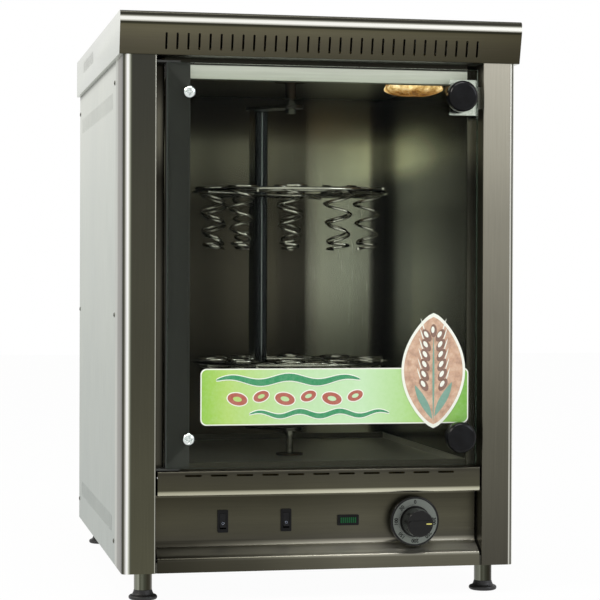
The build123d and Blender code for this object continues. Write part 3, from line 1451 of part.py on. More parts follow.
# Wiring: terminal block on the pan and the cord gland in the back panel
with BuildPart() as terminal_block:
    add(
        box_between(
            (
                TERMINAL_X - TERMINAL_W / 2,
                FRONT_Y + TERMINAL_DEPTH - TERMINAL_D / 2,
                BASE_Z + SHEET,
            ),
            (
                TERMINAL_X + TERMINAL_W / 2,
                FRONT_Y + TERMINAL_DEPTH + TERMINAL_D / 2,
                BASE_Z + SHEET + TERMINAL_H,
            ),
        )
    )
    with BuildSketch(Plane.XY.offset(BASE_Z + SHEET + TERMINAL_H)):
        with Locations((TERMINAL_X, FRONT_Y + TERMINAL_DEPTH)):
            with GridLocations(TERMINAL_W / TERMINAL_WAYS, TERMINAL_ROW_GAP, TERMINAL_WAYS, 2):
                Circle(TERMINAL_HOLE_R)
    extrude(amount=-TERMINAL_HOLE_L, mode=Mode.SUBTRACT)
keep(terminal_block, "terminal_block")

with BuildPart() as cable_gland:
    with BuildSketch(front_plane(BACK_Y)):
        with Locations((GLAND_X, BASE_Z + GLAND_H)):
            RegularPolygon(GLAND_NUT_R, HEX_SIDES)
    extrude(amount=-GLAND_HEX_L)
    with BuildSketch(front_plane(BACK_Y + GLAND_HEX_L)):
        with Locations((GLAND_X, BASE_Z + GLAND_H)):
            Circle(GLAND_R)
    extrude(amount=-(GLAND_REACH - GLAND_HEX_L))
    with BuildSketch(front_plane(BACK_Y)):
        with Locations((GLAND_X, BASE_Z + GLAND_H)):
            Circle(GLAND_R)
    extrude(amount=SHEET + GLAND_INNER)
    with BuildSketch(front_plane(BACK_Y - SHEET)):
        with Locations((GLAND_X, BASE_Z + GLAND_H)):
            RegularPolygon(GLAND_NUT_R, HEX_SIDES)
    extrude(amount=GLAND_LOCKNUT_L)
    with BuildSketch(front_plane(BACK_Y + GLAND_REACH)):
        with Locations((GLAND_X, BASE_Z + GLAND_H)):
            Circle(GLAND_BORE_R)
    extrude(amount=GLAND_REACH + SHEET + GLAND_INNER, mode=Mode.SUBTRACT)
keep(cable_gland, "cable_gland")
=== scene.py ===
import math

import bmesh
import bpy
import numpy as np
from mathutils import Matrix, Vector


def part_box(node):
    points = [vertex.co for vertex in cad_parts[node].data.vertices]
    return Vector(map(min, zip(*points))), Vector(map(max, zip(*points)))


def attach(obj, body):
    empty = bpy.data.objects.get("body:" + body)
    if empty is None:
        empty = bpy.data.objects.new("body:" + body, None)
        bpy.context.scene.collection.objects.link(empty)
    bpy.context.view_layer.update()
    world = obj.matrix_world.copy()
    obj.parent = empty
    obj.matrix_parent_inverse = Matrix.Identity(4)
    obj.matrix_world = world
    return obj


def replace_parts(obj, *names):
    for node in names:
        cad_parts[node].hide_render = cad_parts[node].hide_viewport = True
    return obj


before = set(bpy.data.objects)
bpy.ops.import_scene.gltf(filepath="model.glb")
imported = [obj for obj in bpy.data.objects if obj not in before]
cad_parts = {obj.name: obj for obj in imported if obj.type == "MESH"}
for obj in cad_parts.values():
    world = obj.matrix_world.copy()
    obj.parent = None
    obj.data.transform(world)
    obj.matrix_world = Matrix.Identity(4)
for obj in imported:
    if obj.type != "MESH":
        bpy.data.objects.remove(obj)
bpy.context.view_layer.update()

# A counter-top oven for pizza cones, dressed round its CAD frame. Metres, Z up, front at -Y.

MM = 0.001

# Camera: the place and lens worked out from the photographed corners
CAMERA_SPOT = (-0.6139, -3.1999, 0.4788)
YAW, PITCH, ROLL = 0.2007, 0.0108, -0.0037
PHOTO_WIDTH_PX = 600
FOCAL_PX = 1945.3
SENSOR_MM = 36.0


def set_camera():
    """A pinhole camera: forward, right and down come from yaw, pitch and roll."""
    forward = Vector((math.sin(YAW) * math.cos(PITCH), math.cos(YAW) * math.cos(PITCH),
                      -math.sin(PITCH)))
    level = Vector((math.cos(YAW), -math.sin(YAW), 0))
    down = forward.cross(level)
    right = level * math.cos(ROLL) + down * math.sin(ROLL)
    down = down * math.cos(ROLL) - level * math.sin(ROLL)
    data = bpy.data.cameras.new("camera")
    data.sensor_fit = "HORIZONTAL"
    data.sensor_width = SENSOR_MM
    data.lens = FOCAL_PX / PHOTO_WIDTH_PX * SENSOR_MM
    data.clip_end = 50
    camera = bpy.data.objects.new("camera", data)
    turn = Matrix((right, -down, -forward)).transposed().to_4x4()
    camera.matrix_world = Matrix.Translation(CAMERA_SPOT) @ turn
    bpy.context.collection.objects.link(camera)
    bpy.context.scene.camera = camera


set_camera()


# Colour and nodes
def colour(code):
    """An sRGB hex colour as linear red, green and blue with an alpha of 1."""
    parts = [int(code[i:i + 2], 16) / 255 for i in (1, 3, 5)]
    return tuple(p / 12.92 if p <= 0.04045 else ((p + 0.055) / 1.055) ** 2.4
                 for p in parts) + (1.0,)


def plain_value(value):
    """A hex colour as numbers, and any other value as it is."""
    return colour(value) if isinstance(value, str) else value


def add(tree, kind, inputs=None, out=0, stops=(), **settings):
    """Add one shader node and give one of its output sockets. An input given as a socket is
    linked and any other is set; stops are a colour ramp's places with their hex colours."""
    made = tree.nodes.new("ShaderNode" + kind)
    for key, value in settings.items():
        setattr(made, key, value)
    for key, value in (inputs or {}).items():
        if isinstance(value, bpy.types.NodeSocket):
            tree.links.new(value, made.inputs[key])
        else:
            made.inputs[key].default_value = plain_value(value)
    if stops:
        elements = made.color_ramp.elements
        while len(elements) < len(stops):
            elements.new(0.5)
        for element, (place, code) in zip(elements, stops):
            element.position = place
        for element, (place, code) in zip(elements, stops):
            element.color = colour(code)
    return made.outputs[out]


# A Mix node for colours takes its factor as input 0 and its colours as inputs 6 and 7
MIX = {"out": 2, "data_type": "RGBA"}
MULTIPLY = {**MIX, "blend_type": "MULTIPLY"}


def start(name, **sockets):
    """A new material with its Principled shader; plain values go on the shader's sockets."""
    made = bpy.data.materials.new(name)
    made.use_nodes = True
    tree = made.node_tree
    shader = tree.nodes["Principled BSDF"]
    for key, value in sockets.items():
        shader.inputs[key.replace("_", " ")].default_value = plain_value(value)
    return made, tree, shader


def join(tree, shader, **sockets):
    """Link output sockets to a shader's inputs."""
    for key, socket in sockets.items():
        tree.links.new(socket, shader.inputs[key.replace("_", " ")])


def span(node, letter):
    """Where a CAD node begins and ends along one axis."""
    return tuple(float(corner["XYZ".index(letter)]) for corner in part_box(node))


def along(tree, letter, reach, output="Object"):
    """How far a point lies along one axis, as a share of the reach from its low to its high
    end. With output Normal it is how far the surface faces that way."""
    spot = add(tree, "SeparateXYZ", {"Vector": add(tree, "TexCoord", out=output)}, letter)
    return add(tree, "MapRange", {"Value": spot, "From Min": reach[0], "From Max": reach[1]})


def either_way(tree, letter, reach):
    """How far a surface faces along one axis, either way, as a share of the reach."""
    facing = add(tree, "SeparateXYZ", {"Vector": add(tree, "TexCoord", out="Normal")}, letter)
    size = add(tree, "Math", {0: facing}, operation="ABSOLUTE")
    return add(tree, "MapRange", {"Value": size, "From Min": reach[0], "From Max": reach[1]})


def bands(tree, letter, reach, stops, output="Object"):
    """Colours in bands along one axis; stops are shares of the reach with hex colours."""
    return add(tree, "ValToRGB", {"Fac": along(tree, letter, reach, output)}, stops=stops)


def blotches(tree, size, detail=3.0, rough=0.6, stretch=(1, 1, 1)):
    """Noise in blotches about size across, in metres, in the object's stretched space."""
    coords = add(tree, "TexCoord", out="Object")
    return add(tree, "TexNoise", {"Vector": add(tree, "Mapping", {"Vector": coords,
                                                                  "Scale": stretch}),
                                  "Scale": 1 / size, "Detail": detail, "Roughness": rough})


def tinted(tree, paint, pattern, reach, most, tint, blend="MIX"):
    """A paint with a tint over it: none where the pattern is at the low end of its reach, and
    the share most where it is at the high end."""
    share = add(tree, "MapRange", {"Value": pattern, "From Min": reach[0],
                                   "From Max": reach[1], "To Max": most})
    return add(tree, "Mix", {0: share, 6: paint, 7: tint}, blend_type=blend, **MIX)


def finish(tree, shader, paint, wear, reach, rough, relief=None):
    """Give a shader its colour and its roughness, which goes from the low to the high end of
    rough as wear goes over its reach. relief is a height, a strength and a depth in metres."""
    join(tree, shader, Base_Color=paint,
         Roughness=add(tree, "MapRange", {"Value": wear, "From Min": reach[0],
                                          "From Max": reach[1], "To Min": rough[0],
                                          "To Max": rough[1]}))
    if relief:
        height, strength, depth = relief
        join(tree, shader, Normal=add(tree, "Bump", {"Height": height, "Strength": strength,
                                                     "Distance": depth}))


def brushed(name, paint, grain="X", rough=(0.26, 0.40), strength=0.06):
    """Brushed stainless sheet: its grit lines run along one axis and are about 0.3 mm apart;
    they are drawn 1.5 mm apart so that they show. They pull its reflections out into soft
    streaks across the grain. paint is a hex colour, or a function that adds the colour."""
    made, tree, shader = start(name, Metallic=1.0, Anisotropic=0.4)
    apart, length = 1.5 * MM, 90 * MM
    stretch = tuple(1 / length if letter == grain else 1 / apart for letter in "XYZ")
    lines = blotches(tree, 1.0, 5.0, 0.7, stretch)
    cloud = blotches(tree, 160 * MM, 2.0)
    base = paint(tree) if callable(paint) else paint
    streaked = tinted(tree, base, lines, (0.3, 0.7), 0.14, "#1d1c18")
    clouded = tinted(tree, streaked, cloud, (0.35, 0.65), 0.12, "#f2f0e4", "SOFT_LIGHT")
    finish(tree, shader, clouded, lines, (0.25, 0.75), rough, (lines, strength, 0.1 * MM))
    if grain == "X":
        join(tree, shader, Tangent=add(tree, "Tangent", direction_type="RADIAL", axis="X"))
        shader.inputs["Anisotropic Rotation"].default_value = 0.25
    return made


# Paints of the sheets: painted reflections, highlights and shade, in soft bands along their
# axes

# Heights over which the painted reflections on the posts, the side sheets and the chamber's
# walls change tone, where the hood's painted nose highlight begins and where the panel's
# painted lower bend highlights end; then the sides of the cabinet and of its opening
POST_FADE = (50 * MM, 800 * MM)
SIDE_FADE = (50 * MM, 850 * MM)
CHAMBER_FADE = (190 * MM, 800 * MM)
NOSE_FOOT = (852 * MM, 855 * MM)
BENDS_END = (78 * MM, 88 * MM)
CABINET_X = (span("left_side_panel", "X")[0], span("right_side_panel", "X")[1])
OPENING_X = (span("front_left_post", "X")[1], span("front_right_post", "X")[0])


def side_pale(tree):
    """Side sheets: pale painted reflections, a little darker and greener towards the floor, and
    a painted shadow along the top under the hood.
    """
    return bands(tree, "Z", SIDE_FADE,
                 [(0.0, "#a3aaa4"), (0.35, "#b0b6ae"), (0.7, "#c3c8c0"), (0.93, "#d3d6ce"),
                  (0.938, "#c9ccc4"), (0.945, "#7d8079"), (1.0, "#7d8079")])


def left_post_paint(tree):
    """The left post, in painted reflections: painted highlights on its rounded corner and its
    inner fold, a dark face that darkens upwards, soft painted bands along its side, and
    painted shade along its inner edge."""
    width = span("front_left_post", "X")
    face = bands(tree, "Z", POST_FADE, [(0.0, "#525142"), (0.35, "#48473b"), (1.0, "#3c3c36")])
    across = bands(tree, "X", width,
                   [(0.0, "#55574a"), (0.03, "#3a3a30"), (0.06, "#66665c"), (0.1, "#cfcec8"),
                    (0.135, "#ffffff"), (0.17, "#f2f3ea"), (0.205, "#a3a597"),
                    (0.245, "#56584b"), (0.3, "#48483d"), (0.93, "#8c8b80"),
                    (0.95, "#45453d"), (0.97, "#c9c8bb"), (0.985, "#3d3c35"),
                    (1.0, "#2b2a25")])
    key = bands(tree, "X", width, [(0.0, "#ffffff"), (0.24, "#ffffff"), (0.28, "#000000"),
                                   (0.94, "#000000"), (0.96, "#ffffff")])
    front = add(tree, "Mix", {0: key, 6: face, 7: across}, **MIX)
    side = bands(tree, "Y", span("front_left_post", "Y"),
                 [(0.0, "#45443c"), (0.09, "#3a3932"), (0.2, "#5c594e"), (0.3, "#74716a"),
                  (0.62, "#7d7a71"), (0.72, "#abada4"), (0.95, "#bbbdb5"), (1.0, "#9ea098")])
    off_side = along(tree, "X", (-0.98, -0.9), "Normal")
    return add(tree, "Mix", {0: off_side, 6: side, 7: front}, **MIX)


def right_post_paint(tree):
    """The right post, in painted reflections: paler at its top, with two painted highlights as
    bright lines on its rounded corner.
    """
    width = span("front_right_post", "X")
    face = bands(tree, "Z", POST_FADE, [(0.0, "#4a4840"), (0.3, "#615f54"), (0.7, "#8b887b"),
                                        (1.0, "#b2aea0")])
    across = bands(tree, "X", width,
                   [(0.0, "#6b695e"), (0.83, "#6b695e"), (0.86, "#dddcd2"), (0.9, "#5c5b52"),
                    (0.94, "#4a4942"), (0.965, "#f2f2ea"), (1.0, "#a9a89e")])
    key = bands(tree, "X", width, [(0.0, "#000000"), (0.82, "#000000"), (0.85, "#ffffff")])
    front = add(tree, "Mix", {0: key, 6: face, 7: across}, **MIX)
    side_key = along(tree, "X", (0.9, 0.98), "Normal")
    return add(tree, "Mix", {0: side_key, 6: front, 7: side_pale(tree)}, **MIX)


def hood_paint(tree):
    """The hood, in painted reflections: an olive slope, a dark band under a painted highlight
    on the rolled nose, a dark top edge over it, pale elsewhere. The slope darkens to the right
    as painted shade, the nose doesn't."""
    depth = span("hood", "Z")
    height = bands(tree, "Z", depth,
                   [(0.0, "#4d4a3c"), (0.3, "#565244"), (0.6, "#635f4d"), (0.67, "#5f5b48"),
                    (0.695, "#3a392d"), (0.735, "#2f2e24"), (0.757, "#b9b8ad"),
                    (0.79, "#fbfaf3"), (0.84, "#f4f3eb"), (0.868, "#8d8c80"),
                    (0.893, "#37362f"), (0.95, "#2f2e28"), (0.985, "#3b3a33"),
                    (1.0, "#6a6962")])
    pale = bands(tree, "Z", depth, [(0.0, "#cfd3cb"), (1.0, "#e2e4dd")])
    shade = bands(tree, "X", span("hood", "X"), [(0.0, "#ffffff"), (0.6, "#f6f6f4"),
                                                 (0.85, "#dfdeda"), (1.0, "#c6c4be")])
    nose = along(tree, "Z", NOSE_FOOT)
    slope_shade = add(tree, "Mix", {0: nose, 6: shade, 7: "#ffffff"}, **MIX)
    shaded = add(tree, "Mix", {0: 1.0, 6: height, 7: slope_shade}, **MULTIPLY)
    off_front = along(tree, "Y", (-0.3, -0.15), "Normal")
    front = add(tree, "Mix", {0: off_front, 6: shaded, 7: pale}, **MIX)
    return add(tree, "Mix", {0: either_way(tree, "X", (0.8, 0.95)), 6: front, 7: pale}, **MIX)


def panel_paint(tree):
    """The control panel, in painted reflections: olive, with painted highlights where the nose
    and the lower bends turn up, and painted shade to the left. The painted highlights of the
    lower bends fade out towards the left."""
    depth = span("control_panel", "Z")
    height = bands(tree, "Z", depth,
                   [(0.0, "#5c5a4e"), (0.11, "#605e52"), (0.135, "#8a887c"),
                    (0.165, "#fcfaec"), (0.2, "#fffef4"), (0.225, "#d6d4c8"),
                    (0.25, "#9c998c"), (0.285, "#4d4b43"), (0.36, "#504e43"),
                    (0.5, "#535144"), (0.72, "#403e33"), (0.74, "#6f6c5f"),
                    (0.765, "#dedcc8"), (0.79, "#bebca6"), (0.81, "#504e41"),
                    (0.955, "#49473d"), (0.975, "#403e36"), (1.0, "#58564d")])
    shade = bands(tree, "X", OPENING_X, [(0.0, "#e2e1dd"), (0.4, "#e9e9e6"),
                                         (0.62, "#ffffff"), (1.0, "#f6f6f4")])
    low_shade = bands(tree, "X", OPENING_X, [(0.0, "#8c8b87"), (0.3, "#c2c1bd"),
                                             (0.6, "#ffffff"), (1.0, "#ffffff")])
    above_bends = along(tree, "Z", BENDS_END)
    across = add(tree, "Mix", {0: above_bends, 6: low_shade, 7: shade}, **MIX)
    shaded = add(tree, "Mix", {0: 1.0, 6: height, 7: across}, **MULTIPLY)
    fade = bands(tree, "X", OPENING_X, [(0.0, "#8c8b88"), (0.12, "#9a9996"),
                                        (0.4, "#f4f4f2"), (0.5, "#ffffff")])
    bend_key = bands(tree, "Z", depth,
                     [(0.0, "#000000"), (0.115, "#000000"), (0.13, "#ffffff"),
                      (0.155, "#ffffff"), (0.17, "#000000"), (0.215, "#000000"),
                      (0.24, "#ffffff"), (0.27, "#ffffff"), (0.3, "#000000"),
                      (1.0, "#000000")])
    faded = add(tree, "Mix", {0: 1.0, 6: shaded, 7: fade}, **MULTIPLY)
    return add(tree, "Mix", {0: bend_key, 6: shaded, 7: faded}, **MIX)


def back_wall_paint(tree):
    """The chamber's back wall, in painted reflections: brown-grey on the left, a soft dark
    wedge past its middle and a painted pale sheen on the right, a paler painted band high up,
    and painted shade under the ceiling and at the floor."""
    across = bands(tree, "X", span("chamber_floor", "X"),
                   [(0.0, "#3c3934"), (0.3, "#454139"), (0.5, "#544f46"), (0.56, "#5a554a"),
                    (0.6, "#48433c"), (0.685, "#46423b"), (0.705, "#9c998f"),
                    (0.75, "#cccbbb"), (0.86, "#eef0de"), (0.935, "#eaebd8"),
                    (0.95, "#86847b"), (0.963, "#3a3934"), (1.0, "#2b2a27")])
    height = bands(tree, "Z", CHAMBER_FADE,
                   [(0.0, "#b2b0a6"), (0.2, "#d8d7d0"), (0.5, "#ffffff"), (0.72, "#f0f0ea"),
                    (0.86, "#f6f6ee"), (0.9, "#c0c0b8"), (0.94, "#8a8880"), (1.0, "#5f5e59")])
    band = bands(tree, "Z", CHAMBER_FADE,
                 [(0.0, "#000000"), (0.7, "#000000"), (0.8, "#b0b0b0"), (0.87, "#c8c8c8"),
                  (0.93, "#202020"), (1.0, "#000000")])
    paler = add(tree, "Mix", {0: 0.5, 6: across, 7: "#b9b8a8"}, **MIX)
    lifted = add(tree, "Mix", {0: band, 6: across, 7: paler}, **MIX)
    return add(tree, "Mix", {0: 1.0, 6: lifted, 7: height}, **MULTIPLY)


def side_wall_paint(tree):
    """The chamber's side walls, in painted reflections: a pale painted band high up, and below
    it a dark back part beside an olive grey front part, with painted shade below the band,
    under the ceiling and towards the floor."""
    depth = span("chamber_floor", "Y")
    low = bands(tree, "Y", depth,
                [(0.0, "#504e46"), (0.04, "#504e46"), (0.07, "#37352f"), (0.2, "#44423b"),
                 (0.45, "#605e54"), (0.61, "#656256"), (0.635, "#1d1b19"), (0.9, "#181715"),
                 (1.0, "#1c1b19")])
    high = bands(tree, "Y", depth, [(0.0, "#5c5a4e"), (0.3, "#9b9986"), (0.6, "#f2f0d8"),
                                    (0.85, "#fffce2"), (1.0, "#f0edd2")])
    band = bands(tree, "Z", CHAMBER_FADE,
                 [(0.0, "#000000"), (0.74, "#000000"), (0.8, "#ffffff"), (0.87, "#ffffff"),
                  (0.95, "#202020"), (1.0, "#000000")])
    height = bands(tree, "Z", CHAMBER_FADE,
                   [(0.0, "#c8c8c4"), (0.45, "#e8e8e4"), (0.6, "#b6b6b2"), (0.72, "#888783"),
                    (0.8, "#ffffff"), (0.88, "#ffffff"), (0.96, "#807f7a"), (1.0, "#6a6964")])
    both = add(tree, "Mix", {0: band, 6: low, 7: high}, **MIX)
    return add(tree, "Mix", {0: 1.0, 6: both, 7: height}, **MULTIPLY)


def column_paint(tree):
    """The carousel's channel column: dark, with painted highlights as bright lines along its
    two bends and beside its middle. Its flat back is turned 132.5 degrees about Z and is 36 mm
    wide."""
    turn, half = math.radians(132.5), 18 * MM
    middle = tuple((a + b) / 2 for a, b in zip(*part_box("carrier_column")))
    from_middle = add(tree, "VectorMath", {0: add(tree, "TexCoord", out="Object"), 1: middle},
                      operation="SUBTRACT")
    across = add(tree, "VectorMath", {0: from_middle, 1: (-math.sin(turn), math.cos(turn), 0)},
                 "Value", operation="DOT_PRODUCT")
    share = add(tree, "MapRange", {"Value": across, "From Min": -half, "From Max": half})
    return add(tree, "ValToRGB", {"Fac": share}, stops=[
        (0.0, "#e6ebee"), (0.05, "#c9cfd2"), (0.1, "#33363a"), (0.44, "#1e1f21"),
        (0.62, "#25272a"), (0.68, "#a9b0b6"), (0.74, "#2a2c2f"), (0.9, "#3a3d41"),
        (0.95, "#dfe5e9"), (1.0, "#f2f5f7")])


def sleeve_paint(tree):
    """The feet's round sleeves: a painted highlight at their left, painted shade to the right
    of their middle, and painted shade that darkens them on the right of the oven."""
    # Painted highlight and shade round each sleeve, by the way its surface faces
    turned = bands(tree, "X", (-1, 1),
                   [(0.0, "#86877f"), (0.12, "#8c8e82"), (0.2, "#a0a296"), (0.27, "#55574a"),
                    (0.4, "#6a6c60"), (0.5, "#4c4e43"), (0.68, "#3a382e"), (0.82, "#403d34"),
                    (0.92, "#6a675f"), (1.0, "#4a4944")], "Normal")
    side = bands(tree, "X", CABINET_X, [(0.0, "#eeeeea"), (1.0, "#c2c2be")])
    return add(tree, "Mix", {0: 1.0, 6: turned, 7: side}, **MULTIPLY)


def rail_paint(tree):
    """The rail over the opening: a pale painted reflection, and painted shadow above the door's
    upper edge.
    """
    return bands(tree, "Z", span("upper_front_rail", "Z"),
                 [(0.0, "#e6e7df"), (0.5, "#fbfbf5"), (0.66, "#f6f6ef"), (0.7, "#2e2d28"),
                  (1.0, "#26251f")])


def chamber_floor_paint(tree):
    """The floor pan: painted light, pale with a warm cast, and its front rim painted darker."""
    off_rim = along(tree, "Y", (-0.8, -0.4), "Normal")
    return add(tree, "Mix", {0: off_rim, 6: "#55534a", 7: "#fffdf4"}, **MIX)


# Sheets, bars and tube: rolled bar and drawn tube are smoother than brushed sheet, so their
# highlights are narrower. The back wall's grit is too fine to show through the glass, so it
# has streaks of colour and no relief
STEEL_SIDE = brushed("brushed stainless sheet, side", side_pale, "Z", (0.3, 0.45), 0.03)
STEEL_LEFT_POST = brushed("brushed stainless sheet, left post", left_post_paint, "Z")
STEEL_RIGHT_POST = brushed("brushed stainless sheet, right post", right_post_paint, "Z")
STEEL_HOOD = brushed("brushed stainless sheet, hood", hood_paint)
STEEL_PANEL = brushed("brushed stainless sheet, control panel", panel_paint)
STEEL_RAIL = brushed("brushed stainless strip, rail", rail_paint, "X", (0.35, 0.5))
STEEL_BACK_WALL = brushed("brushed stainless sheet, chamber back", back_wall_paint, "Z",
                          (0.24, 0.28), 0.0)
STEEL_SIDE_WALL = brushed("brushed stainless sheet, chamber sides", side_wall_paint, "Z",
                          (0.14, 0.26))
STEEL_FLOOR = brushed("brushed stainless sheet, chamber floor", chamber_floor_paint, "X",
                      (0.5, 0.62))
STEEL_CEILING = brushed("brushed stainless sheet, chamber ceiling", "#97938a", "X", (0.25, 0.4))
SLEEVE_STEEL = brushed("drawn steel tube, foot sleeves", sleeve_paint, "Z", (0.2, 0.3), 0.02)
STEEL_PAN = brushed("brushed stainless sheet, base pan", "#4a4942", "Y", (0.35, 0.5))
STEEL_COLUMN = brushed("bright-rolled steel channel, carousel column", column_paint, "Z",
                       (0.12, 0.22), 0.02)
STEEL_BAR = brushed("bright-rolled steel bar, carousel arms", "#4a4843", "X", (0.2, 0.34))


def galvanised():
    """Hot-dip galvanised sheet: dull zinc in spangles about 12 mm wide."""
    made, tree, shader = start("hot-dip galvanised sheet", Metallic=1.0)
    cells = add(tree, "TexVoronoi", {"Vector": add(tree, "TexCoord", out="Object"),
                                     "Scale": 1 / (12 * MM)}, "Color")
    tone = add(tree, "SeparateColor", {"Color": cells}, "Red")
    zinc = add(tree, "ValToRGB", {"Fac": tone}, stops=[(0.0, "#767b7c"), (0.5, "#7e8384"),
                                                       (1.0, "#878c8c")])
    finish(tree, shader, zinc, tone.node.outputs["Green"], (0, 1), (0.38, 0.48),
           (blotches(tree, 2 * MM), 0.08, 0.1 * MM))
    return made


def chromed(name, bright, dull, rough):
    """Nickel-chrome plate on drawn wire or turned steel: mirror bright, with faint draw
    marks about 0.4 mm apart."""
    made, tree, shader = start(name, Metallic=1.0)
    marks = blotches(tree, 4 * MM, 4.0, 0.7)
    plate = add(tree, "ValToRGB", {"Fac": marks}, stops=[(0.3, dull), (0.7, bright)])
    finish(tree, shader, plate, marks, (0.3, 0.7), rough,
           (blotches(tree, 0.4 * MM, 2.0), 0.03, 0.05 * MM))
    return made


# Plated and turned metal: small white highlights over dark mirror images of the chamber
CHROME_WIRE = chromed("nickel-chromed wire", "#e2e0d8", "#b5b2a6", (0.14, 0.26))
CHROME_ROD = chromed("nickel-chromed rod", "#8f8c82", "#45443f", (0.1, 0.2))
BRIGHT_STEEL = chromed("polished stainless, small parts", "#f4f6f3", "#ccd0cc", (0.12, 0.26))
TURNED_STEEL = chromed("turned steel, small parts", "#575850", "#494a42", (0.16, 0.22))
DOMED_SCREW = chromed("nickel-plated domed screw", "#e8edea", "#c2cac6", (0.1, 0.2))


def moulded(name, base, worn, rough, grit=0.6, relief=0.12, **sockets):
    """Moulded plastic or paint: even colour with a fine spark-eroded grain, grit mm wide,
    and slightly greyer where handled."""
    made, tree, shader = start(name, **sockets)
    patches = blotches(tree, 18 * MM)
    skin = add(tree, "ValToRGB", {"Fac": patches}, stops=[(0.35, base), (0.75, worn)])
    finish(tree, shader, skin, patches, (0.3, 0.7), (rough - 0.05, rough + 0.08),
           (blotches(tree, grit * MM, 2.0), relief, 0.05 * MM))
    return made


# Phenolic shows small sharp highlights, ABS satin ones, rubber and powder coat hardly any,
# and hammered paint breaks them up
KNOB_BLACK = moulded("glossy phenolic, door knobs", "#0b0b0c", "#151618", 0.1, 2.0, 0.03,
                     Specular_IOR_Level=0.12)
DIAL_BLACK = moulded("glossy phenolic, dial", "#080807", "#10100e", 0.14, 1.2, 0.04,
                     Specular_IOR_Level=0.24)
SWITCH_BLACK = moulded("black ABS, switches", "#080808", "#111112", 0.38,
                       Specular_IOR_Level=0.15)
ROCKER_BLACK = moulded("glossy black ABS, rockers", "#0b0b0d", "#141416", 0.2,
                       Specular_IOR_Level=0.18)
BAR_BLACK = moulded("powder coat, hinge bar", "#30312e", "#393a36", 0.42, 0.8)
RUBBER = moulded("black rubber, foot pads", "#0e0e0d", "#1a1918", 0.5, 1.2, 0.25)
WHITE_STEATITE = moulded("pressed steatite, lamp holder and terminals", "#dcdad0", "#c9c5b8",
                         0.5, 1.0)
MOTOR_PAINT = moulded("hammered paint, gear motor", "#50565a", "#5f666a", 0.4, 3.0, 0.4)


def bronze():
    """Sintered bronze: brown, dulled by oil and heat, and finely pored."""
    made, tree, shader = start("sintered bronze", Metallic=1.0)
    pores = blotches(tree, 0.8 * MM)
    tone = add(tree, "ValToRGB", {"Fac": pores}, stops=[(0.35, "#3b3229"), (0.7, "#5e5142")])
    finish(tree, shader, tone, pores, (0.3, 0.7), (0.35, 0.55), (pores, 0.2, 0.05 * MM))
    return made


def heater_sheath():
    """Nickel-alloy heater sheath: annealed brown-grey with straw and blue temper colours."""
    made, tree, shader = start("annealed alloy heater sheath", Metallic=1.0)
    temper = blotches(tree, 60 * MM)
    tone = add(tree, "ValToRGB", {"Fac": temper}, stops=[(0.3, "#3f3a35"), (0.5, "#5b5148"),
                                                         (0.62, "#6b5a44"), (0.72, "#4a4d58")])
    finish(tree, shader, tone, temper, (0.3, 0.7), (0.4, 0.6))
    return made


def mineral_wool():
    """Mineral wool board: dull ochre, matted from fibres drawn 3 mm wide so that they show."""
    made, tree, shader = start("mineral wool board", Roughness=0.95, Sheen_Weight=0.3)
    matted = blotches(tree, 3 * MM, 5.0, 0.8, (1, 1, 2.5))
    join(tree, shader,
         Base_Color=add(tree, "ValToRGB", {"Fac": matted}, stops=[
             (0.3, "#8d7c4e"), (0.55, "#b5a46f"), (0.8, "#cfc193")]),
         Normal=add(tree, "Bump", {"Height": matted, "Strength": 0.6, "Distance": 1.0 * MM}))
    return made


def clear_pane():
    """Toughened float glass: clear, faintly green, mirror smooth, with dark green edges.
    It is mostly see-through and mirrors more at a low angle."""
    made, tree, shader = start("toughened float glass", IOR=1.52)
    flat = either_way(tree, "Y", (0.4, 0.8))
    body = add(tree, "Mix", {0: flat, 6: "#5f7a6c", 7: "#0d120f"}, **MIX)
    smears = blotches(tree, 70 * MM, 2.0, stretch=(1, 1, 0.4))
    finish(tree, shader, body, smears, (0.3, 0.7), (0.01, 0.05))
    mirrored = add(tree, "MapRange", {"Value": add(tree, "LayerWeight", {"Blend": 0.12},
                                                   "Fresnel"),
                                      "To Min": 0.05, "To Max": 0.85})
    edge = add(tree, "MapRange", {"Value": flat, "To Min": 0.75, "To Max": 0.0})
    solid = add(tree, "Math", {0: mirrored, 1: edge}, operation="MAXIMUM")
    clear = add(tree, "BsdfTransparent", {"Color": "#f7f9f5"})
    blend = add(tree, "MixShader", {0: solid, 1: clear, 2: shader.outputs[0]})
    tree.links.new(blend, tree.nodes["Material Output"].inputs["Surface"])
    return made


def amber_glass():
    """Pressed amber glass: honey colour, faceted, with the bulb's light behind it painted in as
    a
    glow: a painted highlight lies as a pale streak level along its middle, and painted brown
    shade along its lower edge."""
    made, tree, shader = start("pressed amber glass", Roughness=0.12, Transmission_Weight=0.35,
                               IOR=1.5, Emission_Strength=0.95)
    facets = add(tree, "TexVoronoi", {"Vector": add(tree, "TexCoord", out="Object"),
                                      "Scale": 1 / (11 * MM)})
    blotch = add(tree, "ValToRGB", {"Fac": blotches(tree, 14 * MM, 4.0, 0.7)}, stops=[
        (0.3, "#7a6040"), (0.45, "#b39a70"), (0.58, "#e6d9b8"), (0.68, "#ffffff")])
    level = bands(tree, "Z", span("lamp_cover", "Z"),
                  [(0.0, "#8f7048"), (0.2, "#b0936a"), (0.4, "#fff4d4"), (0.5, "#fffaea"),
                   (0.62, "#b8976a"), (1.0, "#8a6c44")])
    honey = add(tree, "Mix", {0: 1.0, 6: level, 7: blotch}, **MULTIPLY)
    join(tree, shader, Base_Color=honey, Emission_Color=honey,
         Normal=add(tree, "Bump", {"Height": facets, "Strength": 0.5, "Distance": 1.5 * MM}))
    return made


